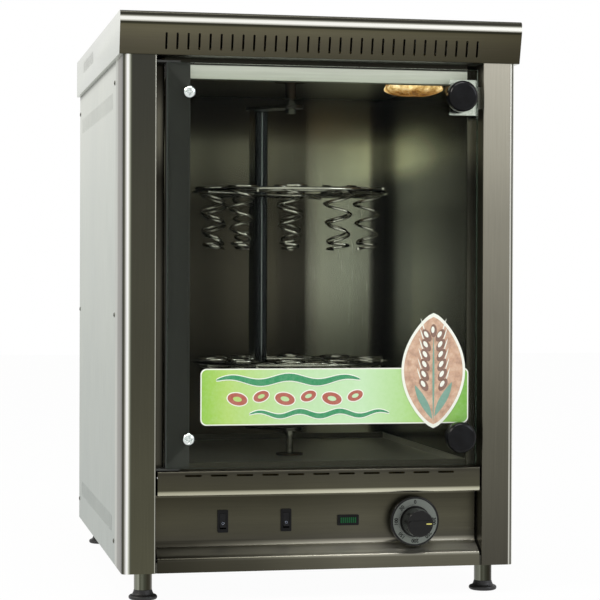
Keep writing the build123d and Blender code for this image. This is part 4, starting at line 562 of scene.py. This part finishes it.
def bulb_glass():
    """A lit bulb's glass: pale and warm, its glow brighter in blotches about 9 mm wide."""
    made, tree, shader = start("lit bulb glass", Base_Color="#fff0cf", Roughness=0.15,
                               Emission_Strength=3.0)
    core = blotches(tree, 9 * MM, 2.0)
    join(tree, shader, Emission_Color=add(tree, "ValToRGB", {"Fac": core}, stops=[
        (0.3, "#ffcf86"), (0.7, "#fff3d6")]))
    return made


def green_lens():
    """Moulded green styrene lens: ribbed every 1.6 mm and dimly lit from behind."""
    made, tree, shader = start("ribbed green styrene lens", Roughness=0.22,
                               Specular_IOR_Level=0.15, Emission_Strength=0.08)
    ribs = add(tree, "TexWave", {"Vector": add(tree, "TexCoord", out="Object"),
                                 "Scale": 1 / (1.6 * MM) / 6.28}, "Fac", bands_direction="X")
    green = add(tree, "ValToRGB", {"Fac": ribs}, stops=[(0.0, "#041c0c"), (0.6, "#07361c"),
                                                        (1.0, "#0e5a30")])
    join(tree, shader, Base_Color=green, Emission_Color=green,
         Normal=add(tree, "Bump", {"Height": ribs, "Strength": 0.4, "Distance": 0.3 * MM}))
    return made


def anodised():
    """Anodised aluminium dial ring: flat grey with fine turned rings 0.8 mm apart."""
    made, tree, shader = start("anodised aluminium ring", Metallic=1.0)
    middle = tuple((a + b) / 2 for a, b in zip(*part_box("dial_scale_ring")))
    radius = add(tree, "VectorMath", {0: add(tree, "TexCoord", out="Object"), 1: middle},
                 "Value", operation="DISTANCE")
    turns = add(tree, "Math", {0: radius, 1: 6.28 / (0.8 * MM)}, operation="MULTIPLY")
    wave = add(tree, "Math", {0: turns}, operation="SINE")
    grey = add(tree, "ValToRGB", {"Fac": add(tree, "MapRange", {"Value": wave,
                                                                "From Min": -1})},
               stops=[(0.0, "#646863"), (1.0, "#7a7f79")])
    finish(tree, shader, grey, wave, (-1, 1), (0.35, 0.5))
    return made


def printed(name, paint, rough=0.3):
    """Printed vinyl film: flat ink under a clear satin laminate with a slight orange peel.
    paint is a hex colour, or a function that adds the colour."""
    made, tree, shader = start(name, Coat_Weight=0.4, Coat_Roughness=0.15, Roughness=rough)
    grain = blotches(tree, 5 * MM, 2.0)
    base = paint(tree) if callable(paint) else paint
    join(tree, shader, Base_Color=tinted(tree, base, grain, (0.3, 0.7), 0.06, "#ffffff"),
         Normal=add(tree, "Bump", {"Height": grain, "Strength": 0.04, "Distance": 0.1 * MM}))
    return made


dressing = {
    STEEL_SIDE: ("left_side_panel", "right_side_panel"),
    STEEL_LEFT_POST: ("front_left_post",),
    STEEL_RIGHT_POST: ("front_right_post",),
    STEEL_HOOD: ("hood",),
    STEEL_PANEL: ("control_panel",),
    STEEL_RAIL: ("upper_front_rail",),
    STEEL_BACK_WALL: ("chamber_back_wall",),
    STEEL_SIDE_WALL: ("chamber_left_wall", "chamber_right_wall"),
    STEEL_FLOOR: ("chamber_floor",),
    STEEL_CEILING: ("chamber_ceiling",),
    STEEL_BAR: ("top_arm", "bottom_arm"),
    STEEL_PAN: ("base_pan",),
    galvanised(): ("back_panel", "motor_bracket", "element_clips"),
    CHROME_WIRE: ("upper_tier_frame", "lower_tier_frame", "upper_cone_holders",
                  "lower_cone_holders"),
    STEEL_COLUMN: ("carrier_column",),
    CHROME_ROD: ("spindle", "output_shaft"),
    BRIGHT_STEEL: ("strike_plate",),
    SLEEVE_STEEL: ("foot_sleeves",),
    TURNED_STEEL: ("magnetic_catch", "top_pin", "pin_nut"),
    KNOB_BLACK: ("upper_door_knob", "lower_door_knob"),
    DIAL_BLACK: ("thermostat_knob",),
    SWITCH_BLACK: ("switch_housings", "indicator_bezel", "cable_gland"),
    ROCKER_BLACK: ("left_rocker", "right_rocker"),
    BAR_BLACK: ("hinge_bar", "upper_hinge_bracket", "lower_hinge_bracket"),
    WHITE_STEATITE: ("lamp_holder", "terminal_block", "thermostat_body"),
    MOTOR_PAINT: ("gear_motor",),
    bronze(): ("top_bearing", "floor_bearing"),
    heater_sheath(): ("heating_element",),
    green_lens(): ("indicator_lens",),
    anodised(): ("dial_scale_ring",),
    bulb_glass(): ("lamp_bulb",),
    clear_pane(): ("door_glass",),
}

for material, names in dressing.items():
    for name in names:
        slots = bpy.data.objects[name].data.materials
        slots.clear()
        slots.append(material)


# Surfaces: grids of points, profiles turned round an axis, and the pieces made from them
def quads(rows, cols):
    """Faces of a grid of rows by cols points, whose last column joins its first."""
    i, j = np.meshgrid(np.arange(rows - 1), np.arange(cols), indexing="ij")
    k = (j + 1) % cols
    return np.stack([i * cols + j, i * cols + k, (i + 1) * cols + k, (i + 1) * cols + j],
                    axis=-1).reshape(-1, 4)


def settle(name, points, faces, material, body):
    """One piece on its body: points that meet are merged, and faces face out."""
    mesh = bpy.data.meshes.new(name)
    mesh.from_pydata(points, [], faces)
    work = bmesh.new()
    work.from_mesh(mesh)
    bmesh.ops.remove_doubles(work, verts=work.verts, dist=0.001 * MM)
    bmesh.ops.recalc_face_normals(work, faces=work.faces)
    work.to_mesh(mesh)
    work.free()
    mesh.materials.append(material)
    piece = bpy.data.objects.new(name, mesh)
    bpy.context.collection.objects.link(piece)
    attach(piece, body)
    return piece


def make(name, shells, material, body, smooth=True):
    """One piece from closed shells of (grid points, faces)."""
    points, faces, base = [], [], 0
    for shell_points, shell_faces in shells:
        shell_points = np.asarray(shell_points, dtype=float).reshape(-1, 3)
        points.append(shell_points)
        faces.append(np.asarray(shell_faces) + base)
        base += len(shell_points)
    piece = settle(name, np.concatenate(points).tolist(), np.concatenate(faces).tolist(),
                   material, body)
    if smooth:
        piece.data.shade_smooth()
        piece.data.set_sharp_from_angle(angle=math.radians(38))
    return piece


def around(profile, cols, relief=None):
    """A profile of (radius, height) rows turned about the local Z axis: x = r cos a and
    y = r sin a, and relief(x, y, z) is added to the height. Local points, rows by cols."""
    profile = np.asarray(profile, dtype=float)
    angle = np.arange(cols) * 2 * math.pi / cols
    x = profile[:, :1] * np.cos(angle)
    y = profile[:, :1] * np.sin(angle)
    z = np.repeat(profile[:, 1:], cols, axis=1)
    if relief is not None:
        z = z + relief(x, y, z)
    return np.stack([x, y, z], axis=-1)


def aimed(points, origin, forward, up=(0, 0, 1)):
    """Local points put at an origin with their Z axis along forward."""
    forward = np.asarray(forward, dtype=float)
    up = np.asarray(up, dtype=float)
    side = np.cross(up, forward)
    side = side / np.linalg.norm(side)
    top = np.cross(forward, side)
    return (np.asarray(origin) + points[..., :1] * side + points[..., 1:2] * top
            + points[..., 2:] * forward)


def cross_recess(width, length, depth):
    """Relief of a cross recess: it falls away inside either arm of a plus sign. Its walls
    slope over a fifth of an arm's width at the sides and over half of it at the ends."""
    def relief(x, y, z):
        near = np.minimum(np.abs(x), np.abs(y))
        far = np.maximum(np.abs(x), np.abs(y))
        inside = (np.clip((width / 2 - near) / (width / 5), 0, 1)
                  * np.clip((length / 2 - far) / (width / 2), 0, 1))
        return -depth * inside * (z > 0)
    return relief


def screw(radius, head, shank_r, shank_l, cols, rows):
    """A domed screw: height = head * (1 - (r / R)^2)^0.6 above the seat, a flat under the
    rim, and a plain shank, with a cross recess in the dome."""
    out = np.sin(np.linspace(0, math.pi / 2, rows))
    dome = [(radius * s, head * math.sqrt(max(0.0, 1 - s * s)) ** 1.2) for s in out]
    shank = [(shank_r, 0.0), (shank_r, -shank_l), (0.0, -shank_l)]
    shape = around(dome + shank, cols, cross_recess(radius * 0.3, radius * 1.15, head * 0.5))
    return shape, quads(rows + len(shank), cols)


# Door screws: two domed heads on the pane
PANE_Y = span("door_glass", "Y")[0]
head_low, head_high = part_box("door_screws")
HEAD_R = (head_high[0] - head_low[0]) / 2
SHANK_R = 3 * MM
screw_x = (head_low[0] + head_high[0]) / 2
shape, faces = screw(radius=HEAD_R, head=PANE_Y - head_low[1], shank_r=SHANK_R,
                     shank_l=head_high[1] - PANE_Y, cols=64, rows=26)
shells = [(aimed(shape, (screw_x, PANE_Y, z), (0, -1, 0)), faces)
          for z in (head_low[2] + HEAD_R, head_high[2] - HEAD_R)]
door_screw_heads = make("door_screw_heads", shells, DOMED_SCREW, "door")
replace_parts(door_screw_heads, "door_screws")

# Panel screws: six on each side, where the side panels are fixed
side_low, side_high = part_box("right_side_panel")
SCREW_EDGE = 12 * MM
SCREW_HEIGHTS = (78 * MM, 423 * MM, 776 * MM)
shape, faces = screw(radius=4 * MM, head=1.8 * MM, shank_r=1.8 * MM, shank_l=8 * MM,
                     cols=28, rows=12)
shells = [(aimed(shape, (way * side_high[0], y, z), (way, 0, 0)), faces)
          for way in (-1, 1)
          for y in (side_low[1] + SCREW_EDGE, side_high[1] - SCREW_EDGE)
          for z in SCREW_HEIGHTS]
panel_screw_heads = make("panel_screw_heads", shells, TURNED_STEEL, "cabinet")
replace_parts(panel_screw_heads, "panel_screws")


# Feet: a flared rubber pad and a threaded stem
def foot_shells(low, high):
    """The pad's profile runs from the floor round a rim of 3.5 mm radius and up its flare,
    which draws in as the share to the power 0.8, by three quarters of the way to a radius of
    12 mm, and rises as the share to the power 1.7. The stem's radius is 5 mm less a thread
    0.45 mm deep of 1.5 mm pitch, which climbs as it turns."""
    middle = ((low[0] + high[0]) / 2, (low[1] + high[1]) / 2, 0.0)
    radius = (high[0] - low[0]) / 2
    rim_r, flare_r, pad_top = 3.5 * MM, 15.5 * MM, 14.7 * MM
    turn = np.linspace(-math.pi / 2, math.pi / 2, 12)
    rim = [(radius - rim_r * (1 - math.cos(t)), rim_r + rim_r * math.sin(t)) for t in turn]
    flare = [(radius - rim_r - (radius - flare_r) * share ** 0.8 * 0.75,
              2 * rim_r + (pad_top - 2 * rim_r) * share ** 1.7)
             for share in np.linspace(0, 1, 14)]
    pad = [(0.0, 0.0), (radius - 6 * MM, 0.0)] + rim + flare[1:] + [(0.0, pad_top)]
    pad_cols = 72
    stem_low, stem_high = 14.5 * MM, high[2]
    stem_r, groove, pitch = 5 * MM, 0.45 * MM, 1.5 * MM
    rows, cols = 150, 24
    height = np.linspace(stem_low, stem_high, rows)[:, None]
    angle = np.arange(cols) * 2 * math.pi / cols
    phase = (height / pitch + angle / (2 * math.pi)) % 1
    r = stem_r - groove * np.abs(2 * phase - 1)
    stem = np.stack([r * np.cos(angle), r * np.sin(angle), height + 0 * angle], axis=-1)
    ends = np.zeros((1, cols, 3))
    stem = np.concatenate([ends + (0, 0, stem_low), stem, ends + (0, 0, stem_high)])
    return ([(around(pad, pad_cols) + middle, quads(len(pad), pad_cols))],
            [(stem + middle, quads(rows + 2, cols))])


for corner in ("front_left", "front_right", "rear_left", "rear_right"):
    low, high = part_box(f"{corner}_foot")
    pad, stem = foot_shells(low, high)
    pad_piece = make(f"{corner}_foot_pad", pad, RUBBER, f"{corner}_leg")
    make(f"{corner}_foot_stem", stem, BRIGHT_STEEL, f"{corner}_leg")
    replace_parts(pad_piece, f"{corner}_foot")


# Labels on the glass: outlines drawn as closed curves and filled from their middle
def rounded_outline(x0, x1, z0, z1, radius, count):
    """A rectangle with rounded corners as count points: four quarter arcs joined by runs."""
    angle = np.linspace(0, 2 * math.pi, count, endpoint=False)
    quarter = np.floor(angle / (math.pi / 2)).astype(int)
    cx = np.array([x1 - radius, x0 + radius, x0 + radius, x1 - radius])[quarter]
    cz = np.array([z1 - radius, z1 - radius, z0 + radius, z0 + radius])[quarter]
    return np.stack([cx + radius * np.cos(angle), cz + radius * np.sin(angle)], axis=-1)


def film(outline, front, thickness):
    """A thin flat film: its outline shrunk to its middle on the front and on the back."""
    outline = np.asarray(outline, dtype=float)
    middle = outline.mean(axis=0)
    count = len(outline)
    rows = []
    for share, y in ((0.0, front), (0.5, front), (1.0, front), (1.0, front + thickness),
                     (0.5, front + thickness), (0.0, front + thickness)):
        flat = middle + share * (outline - middle)
        rows.append(np.stack([flat[:, 0], np.full(count, y), flat[:, 1]], axis=-1))
    return np.stack(rows), quads(len(rows), count)


def ellipse(cx, cz, a, b, turn=0.0, count=40):
    """An ellipse outline with half axes a and b, turned by an angle."""
    t = np.arange(count) * 2 * math.pi / count
    x, z = a * np.cos(t), b * np.sin(t)
    return np.stack([cx + x * math.cos(turn) - z * math.sin(turn),
                     cz + x * math.sin(turn) + z * math.cos(turn)], axis=-1)


def ribbon(x0, x1, middle_z, swing, waves, half, count=90):
    """A wavy band: its centre line is a sine of the length, and its half width tapers to
    0.3 mm at both ends as the root of a sine."""
    t = np.linspace(0, 1, count)
    x = x0 + (x1 - x0) * t
    z = middle_z + swing * np.sin(2 * math.pi * waves * t)
    wide = half * np.sqrt(np.clip(np.sin(math.pi * t), 0, 1)) + 0.3 * MM
    return x, z, wide


def ribbon_shell(x, z, wide, front, thickness):
    """A closed strip between the two edges of a ribbon."""
    edge = [np.stack([x, np.full_like(x, y), z + s * wide], axis=-1)
            for s, y in ((-1, front), (1, front), (1, front + thickness),
                         (-1, front + thickness))]
    grid = np.stack(edge, axis=1)
    shut = [grid[:1].mean(axis=1, keepdims=True).repeat(4, axis=1),
            grid[-1:].mean(axis=1, keepdims=True).repeat(4, axis=1)]
    grid = np.concatenate([shut[0], grid, shut[1]])
    return grid, quads(len(grid), 4)


def lime_paint(tree):
    """Green ink that fades to a pale middle: lime at both ends of the label."""
    return bands(tree, "X", (BANNER[0], BANNER[1]),
                 [(0.0, "#86bf2c"), (0.1, "#abd063"), (0.38, "#b9deaa"), (0.6, "#c0e3b5"),
                  (0.85, "#9acb5c"), (1.0, "#69ab2a")])


def crust_paint(tree):
    """Baked tan, browner in patches about 12 mm wide."""
    return add(tree, "ValToRGB", {"Fac": blotches(tree, 12 * MM)}, stops=[
        (0.3, "#a8836b"), (0.5, "#c7a084"), (0.7, "#d8bba0")])


# The banner's left, right, lower and upper edges
BANNER = (-183.5 * MM, 228.8 * MM, 260.5 * MM, 345.0 * MM)

# Printed films look flat and even, with a soft sheen where the lamps catch them
INK_WHITE = printed("printed vinyl film, white", "#eef1e6")
INK_LIME = printed("printed vinyl film, lime", lime_paint)
INK_GREEN = printed("printed vinyl film, dark green", "#128a52")
INK_RED = printed("printed vinyl film, brick red", "#a9503a")
INK_TAN = printed("printed vinyl film, crust tan", crust_paint)
INK_BROWN = printed("printed vinyl film, brown", "#7d5a48")
INK_TEAL = printed("printed vinyl film, teal", "#6f9c8a")

FILM = 0.15 * MM


def layer(level):
    """Depth of the front of a film that lies as the level-th layer on the glass."""
    return PANE_Y - level * FILM


def label(name, outlines, level, material):
    """One printed layer of a label, riding on the door."""
    shells = [film(outline, layer(level), FILM) for outline in outlines]
    return make(name, shells, material, "door", smooth=False)


label("banner_backing", [rounded_outline(*BANNER, 9 * MM, 64)], 1, INK_WHITE)
inset = 1.8 * MM
field = (BANNER[0] + inset, BANNER[1] - inset, BANNER[2] + inset, BANNER[3] - inset)
label("banner_field", [rounded_outline(*field, 8 * MM, 64)], 2, INK_LIME)
# Each wave's first and last x, height, swing, number of waves and half width
WAVES = ((-160 * MM, 60 * MM, 328 * MM, 4 * MM, 2.5, 5 * MM),
         (-110 * MM, 105 * MM, 277 * MM, 3.5 * MM, 3.5, 3.5 * MM))
for number, wave in enumerate(WAVES):
    x, z, wide = ribbon(*wave)
    make(f"banner_wave_edge_{number}", [ribbon_shell(x, z, wide + 1.4 * MM, layer(3), FILM)],
         INK_WHITE, "door", smooth=False)
    make(f"banner_wave_{number}", [ribbon_shell(x, z, wide, layer(4), FILM)],
         INK_GREEN, "door", smooth=False)


def drop_row(margin=0.0, wide=1.0, tall=1.0):
    """Six ovals 36 mm apart: every other one is smaller, 4 mm higher and leans the other way.
    A margin in metres widens them, and wide and tall are shares of their half axes."""
    sizes = ((15 * MM, 9 * MM, 299.5 * MM, -0.2), (12 * MM, 7.5 * MM, 303.5 * MM, 0.35))
    outlines = []
    for k in range(6):
        a, b, z, lean = sizes[k % 2]
        outlines.append(ellipse((36 * k - 128) * MM, z, a * wide + margin, b * tall + margin,
                                lean))
    return outlines


label("banner_drop_edges", drop_row(margin=1.6 * MM), 3, INK_WHITE)
label("banner_drops", drop_row(), 4, INK_RED)
label("banner_drop_hearts", drop_row(wide=0.45, tall=0.4), 5, INK_LIME)


def leaf(cx, z0, z1, half, lean, count=64, power=0.85):
    """A pointed oval from z0 to z1: half width is half * sin(pi t)^power, leaning by lean."""
    t = np.linspace(0, 1, count // 2)
    wide = half * np.clip(np.sin(math.pi * t), 0, 1) ** power
    z = z0 + (z1 - z0) * t
    x = cx + lean * t
    right = np.stack([x + wide, z], axis=-1)
    left = np.stack([x - wide, z], axis=-1)[::-1]
    return np.concatenate([right, left[1:-1]])


# The tall cut-out label: an ear of grain on a pointed oval card with a white edge. Its six
# pairs of grains climb by 15 mm each and draw in towards the tip, and each has an awn
CARD_X, CARD_LOW, CARD_HIGH = 173.5 * MM, 253 * MM, 428 * MM
label("card_edge", [leaf(CARD_X, CARD_LOW, CARD_HIGH, 50 * MM, 0.0, 96, 0.7)], 6, INK_WHITE)
label("card_field", [leaf(CARD_X, CARD_LOW + 6 * MM, CARD_HIGH - 6 * MM, 46 * MM, 0.0, 96,
                          0.7)], 7, INK_TAN)
grains, awns = [], []
for k in range(6):
    z = CARD_LOW + (62 + 15 * k) * MM
    reach = (15 - 0.9 * k) * MM
    for way in (-1, 1):
        grains.append(ellipse(CARD_X + way * reach, z + 4 * MM, 5.6 * MM, 10.5 * MM,
                              -way * 0.55))
        awns.append(leaf(CARD_X + way * reach * 1.25, z + 8 * MM, z + 30 * MM, 0.9 * MM,
                         way * 7 * MM, 20))
grains.append(ellipse(CARD_X, CARD_HIGH - 27 * MM, 5 * MM, 10 * MM))
lights = [0.5 * (grain - grain.mean(axis=0)) + grain.mean(axis=0) + (-1.2 * MM, 1.5 * MM)
          for grain in grains]
label("card_awns", awns, 8, INK_WHITE)
label("card_grains", grains, 9, INK_BROWN)
label("card_grain_lights", lights, 10, INK_WHITE)
label("card_leaves", [leaf(CARD_X + way * 2 * MM, low, low + 52 * MM, 6.5 * MM, way * 27 * MM)
                      for way, low in ((-1, CARD_LOW + 14 * MM), (1, CARD_LOW + 18 * MM))],
      8, INK_TEAL)
label("card_stem", [leaf(CARD_X, CARD_LOW + 8 * MM, CARD_HIGH - 30 * MM, 1.6 * MM, 0.0, 30)],
      8, INK_TEAL)


# Dial: numbers and ticks on the ring, a pointer on the grip
def flat_text(words, size):
    """Local points and faces of words as a thin mesh, centred on their own middle."""
    curve = bpy.data.curves.new("words", "FONT")
    curve.body = words
    curve.size = size
    curve.extrude = 0.06 * MM
    curve.offset = 0.22 * MM
    curve.align_x = "CENTER"
    curve.align_y = "CENTER"
    holder = bpy.data.objects.new("words", curve)
    mesh = bpy.data.meshes.new_from_object(holder)
    points = np.empty(len(mesh.vertices) * 3)
    mesh.vertices.foreach_get("co", points)
    faces = [list(face.vertices) for face in mesh.polygons]
    bpy.data.objects.remove(holder)
    bpy.data.curves.remove(curve)
    return points.reshape(-1, 3), faces


def raw_piece(name, parts, material, body):
    """One piece from parts of (points, faces of any size)."""
    points, faces, base = [], [], 0
    for part_points, part_faces in parts:
        points += part_points.tolist()
        faces += [[i + base for i in face] for face in part_faces]
        base = len(points)
    return settle(name, points, faces, material, body)


ring_low, ring_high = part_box("dial_scale_ring")
dial_x = (ring_low[0] + ring_high[0]) / 2
dial_z = (ring_low[2] + ring_high[2]) / 2
NUMBER_R, TICK_R = 29.3 * MM, 25.4 * MM
NUMBER_STEP, TICK_STEP = 45, 5
INK_SCALE = moulded("printed scale ink", "#060606", "#0c0c0c", 0.6, Specular_IOR_Level=0.1)


def on_dial(degrees, radius, out):
    """A place on the dial at an angle from its top, anticlockwise, and its outward way."""
    angle = math.radians(degrees)
    outward = np.array([-math.sin(angle), 0, math.cos(angle)])
    return np.array([dial_x, ring_low[1] - out, dial_z]) + radius * outward, outward


def dial_bar(outline, thickness):
    """A filled outline as local points that lie flat with their Z axis towards the eye."""
    shape, faces = film(outline, 0.0, thickness)
    return np.stack([shape[..., 0], shape[..., 2], thickness - shape[..., 1]], axis=-1), faces


numbers, ticks = [], []
for step in range(7):
    points, faces = flat_text(str(50 * step), 7.6 * MM)
    spot, outward = on_dial(NUMBER_STEP * step, NUMBER_R, 0.06 * MM)
    numbers.append((aimed(points, spot, (0, -1, 0), outward), faces))
tick, faces = dial_bar(leaf(0.0, -1.1 * MM, 1.1 * MM, 0.28 * MM, 0.0, 16, 0.3), 0.1 * MM)
for step in range(55):
    if TICK_STEP * step % NUMBER_STEP:
        spot, outward = on_dial(TICK_STEP * step, TICK_R, 0.0)
        ticks.append((aimed(tick, spot, (0, -1, 0), outward), faces))
raw_piece("dial_numbers", numbers, INK_SCALE, "dial")
make("dial_ticks", ticks, INK_SCALE, "dial", smooth=False)

POINTER = printed("printed pointer ink", "#b9b04a", 0.4)
mark, faces = dial_bar(leaf(0.0, 8 * MM, 17.5 * MM, 1.1 * MM, 0.0, 24, 0.25), 0.12 * MM)
mark = mark[..., [1, 0, 2]]
grip_y = span("thermostat_knob", "Y")[0]
make("dial_pointer", [(aimed(mark, (dial_x, grip_y, dial_z), (0, -1, 0)), faces)],
     POINTER, "dial", smooth=False)

# Rocker marks: a bar above and a ring below on each tipped face
ROCKER_INK = printed("printed rocker marks", "#8b94a8", 0.4)
ROCKER_TIP = math.radians(-8)
PIVOT_Y = -316.5 * MM
FACE_Y, DISH, FACE_HALF = -5.5 * MM, 2.5 * MM, 10.25 * MM


def on_rocker(points, centre_x, centre_z):
    """Local points laid on the rocker's dished face, y = face - dish * |z| / half height, and
    then tipped with the rocker about X."""
    x, y, z = points[..., 0], points[..., 1], points[..., 2]
    y = y + FACE_Y - DISH * np.abs(z) / FACE_HALF - 0.1 * MM
    return np.stack([centre_x + x,
                     PIVOT_Y + y * math.cos(ROCKER_TIP) - z * math.sin(ROCKER_TIP),
                     centre_z + y * math.sin(ROCKER_TIP) + z * math.cos(ROCKER_TIP)], axis=-1)


def rocker_ring():
    """A torus about Y below the pivot: its ring has a radius of 1.7 mm, its wire 0.28 mm."""
    rows, cols = 24, 8
    ring_r, wire, below = 1.7 * MM, 0.28 * MM, 5.2 * MM
    turn = np.arange(rows + 1)[:, None] % rows * 2 * math.pi / rows
    tube = np.arange(cols) * 2 * math.pi / cols
    reach = ring_r + wire * np.cos(tube)
    return np.stack([reach * np.cos(turn), wire * np.sin(tube) + 0 * turn,
                     reach * np.sin(turn) - below], axis=-1), quads(rows + 1, cols)


rocker_marks = [film(ellipse(0.0, 5.6 * MM, 0.5 * MM, 2.3 * MM, 0.0, 16), 0.0, 0.2 * MM),
                rocker_ring()]
for name in ("left", "right"):
    low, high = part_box(f"{name}_rocker")
    middle_x, middle_z = (low[0] + high[0]) / 2, (low[2] + high[2]) / 2
    make(f"{name}_rocker_marks",
         [(on_rocker(points, middle_x, middle_z), faces) for points, faces in rocker_marks],
         ROCKER_INK, f"{name}_switch_rocker")


# Lamp cover: a lens of rippled amber glass
def ribbed_cover():
    """A lens-shaped glass on a squarish oval, |x|^4 + |y|^4 = 1 in shares of its half sizes:
    from its middle the floor curves up by a third of the depth to the widest edge, and a
    collar draws in by a sixth up to the ceiling. Its skin is rippled by 1 mm in 24 rays, and
    a second skin 2.5 mm inside closes it."""
    low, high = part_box("lamp_cover")
    cx, cy = (low[0] + high[0]) / 2, (low[1] + high[1]) / 2
    half_x, half_y = (high[0] - low[0]) / 2, (high[1] - low[1]) / 2
    cols, rows, rays = 144, 26, 24
    widest, glass, ripple = 0.7, 2.5 * MM, 1.0 * MM
    angle = np.arange(cols) * 2 * math.pi / cols
    bulge = (np.abs(np.cos(angle)) ** 4 + np.abs(np.sin(angle)) ** 4) ** (-1 / 4)

    def skin(shrink, deep):
        """One skin: the share t goes from the middle of the floor to the collar's top."""
        t = np.linspace(0, 1, rows)[:, None]
        s = np.minimum(t / widest, 1)
        collar = np.maximum(t - widest, 0) / (1 - widest)
        reach = s * (1 - collar / 6)
        drop = (1 - s ** 3 / 3) * (1 - collar)
        wave = ripple * np.cos(rays * angle) * np.sin(math.pi * t) ** 0.7
        x = cx + reach * (half_x - shrink) * bulge * np.cos(angle)
        y = cy + reach * (half_y - shrink) * bulge * np.sin(angle)
        z = high[2] - deep * drop + wave * np.minimum(1, 4 * (1 - t))
        return np.stack([x, y, z], axis=-1)

    full = high[2] - low[2] - 1.2 * MM
    both = np.concatenate([skin(0.0, full), skin(glass, full - glass)[::-1]])
    return make("lamp_cover_glass", [(both, quads(2 * rows, cols))], amber_glass(), "cabinet")


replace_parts(ribbed_cover(), "lamp_cover")


# Insulation: the wool boards' own outline, with softened edges and a quilted surface
def wool_boards():
    """The boards are remeshed at 8 mm, and each point sinks by 0.9 mm and up to 0.7 mm more
    or less, as a product of sines of its place with a wave of 45 mm, so the faces look matted
    and their edges lose their sharpness."""
    voxel, wave, sink, swing = 8 * MM, 45 * MM, 0.9 * MM, 0.7 * MM
    mesh = bpy.data.objects["insulation"].data.copy()
    work = bmesh.new()
    work.from_mesh(mesh)
    bmesh.ops.remove_doubles(work, verts=work.verts, dist=0.001 * MM)
    work.to_mesh(mesh)
    work.free()
    piece = bpy.data.objects.new("insulation_wool", mesh)
    bpy.context.collection.objects.link(piece)
    remesh = piece.modifiers.new("remesh", "REMESH")
    remesh.mode = "VOXEL"
    remesh.voxel_size = voxel
    bpy.context.view_layer.update()
    final = bpy.data.meshes.new_from_object(piece.evaluated_get(
        bpy.context.evaluated_depsgraph_get()))
    piece.modifiers.clear()
    piece.data = final
    count = len(final.vertices)
    spots = np.empty(count * 3)
    outward = np.empty(count * 3)
    final.vertices.foreach_get("co", spots)
    final.vertices.foreach_get("normal", outward)
    spots, outward = spots.reshape(-1, 3), outward.reshape(-1, 3)
    ripple = np.prod(np.sin(spots * (2 * math.pi / wave) + (0.3, 1.1, 2.0)), axis=1)
    sunk = spots - outward * (sink + swing * ripple)[:, None]
    final.vertices.foreach_set("co", sunk.ravel())
    final.materials.clear()
    final.materials.append(mineral_wool())
    final.shade_smooth()
    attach(piece, "cabinet")
    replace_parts(piece, "insulation")


wool_boards()


# Stage: a white floor and background, and soft lamps
def looked_at(tree):
    """1 where the camera, a mirror or a glass looks at a surface, and 0 where it only gives
    light: the largest of three outputs of the light path."""
    sight = add(tree, "LightPath", out="Is Camera Ray")
    for ray in ("Is Glossy Ray", "Is Transmission Ray"):
        sight = add(tree, "Math", {0: sight, 1: add(tree, "LightPath", out=ray)},
                    operation="MAXIMUM")
    return sight


def stage():
    """A floor that the camera and mirrors see as white, and that still takes the shadow."""
    half, white_share = 9.0, 0.97
    made, tree, shader = start("studio paper", Base_Color="#d9d9d6", Roughness=0.9)
    share = add(tree, "Math", {0: looked_at(tree), 1: white_share}, operation="MULTIPLY")
    white = add(tree, "Emission", {"Color": "#ffffff", "Strength": 1.0})
    blend = add(tree, "MixShader", {0: share, 1: shader.outputs[0], 2: white})
    tree.links.new(blend, tree.nodes["Material Output"].inputs["Surface"])
    mesh = bpy.data.meshes.new("floor")
    mesh.from_pydata([(-half, -half, 0), (half, -half, 0), (half, half, 0), (-half, half, 0)],
                     [], [(0, 1, 2, 3)])
    mesh.materials.append(made)
    floor = bpy.data.objects.new("floor", mesh)
    bpy.context.collection.objects.link(floor)


stage()


def set_world():
    """White to the camera and to mirrors, softer as a light."""
    world = bpy.data.worlds.new("studio")
    bpy.context.scene.world = world
    world.use_nodes = True
    tree = world.node_tree
    backdrop = tree.nodes["Background"]
    backdrop.inputs["Color"].default_value = colour("#ffffff")
    join(tree, backdrop, Strength=add(tree, "MapRange", {"Value": looked_at(tree),
                                                         "To Min": 0.62}))


set_world()


def lamp(name, spot, target, size, power, tint="#ffffff"):
    """A rectangular soft box that faces its target."""
    data = bpy.data.lights.new(name, "AREA")
    data.shape = "RECTANGLE"
    data.size, data.size_y = size
    data.energy = power
    data.color = colour(tint)[:3]
    made = bpy.data.objects.new(name, data)
    aim = (Vector(target) - Vector(spot)).to_track_quat("-Z", "Y")
    made.matrix_world = Matrix.Translation(spot) @ aim.to_matrix().to_4x4()
    bpy.context.collection.objects.link(made)


lamp("key", (-2.4, -1.2, 2.6), (0, 0, 0.5), (1.2, 1.2), 60, "#fff8ee")
lamp("fill", (2.6, -2.2, 2.0), (0, 0, 0.4), (1.6, 1.6), 35, "#f2f6ff")
lamp("top", (0.0, -0.9, 3.0), (0, 0, 0.8), (1.8, 0.8), 35)

bpy.context.scene.view_settings.view_transform = "Standard"
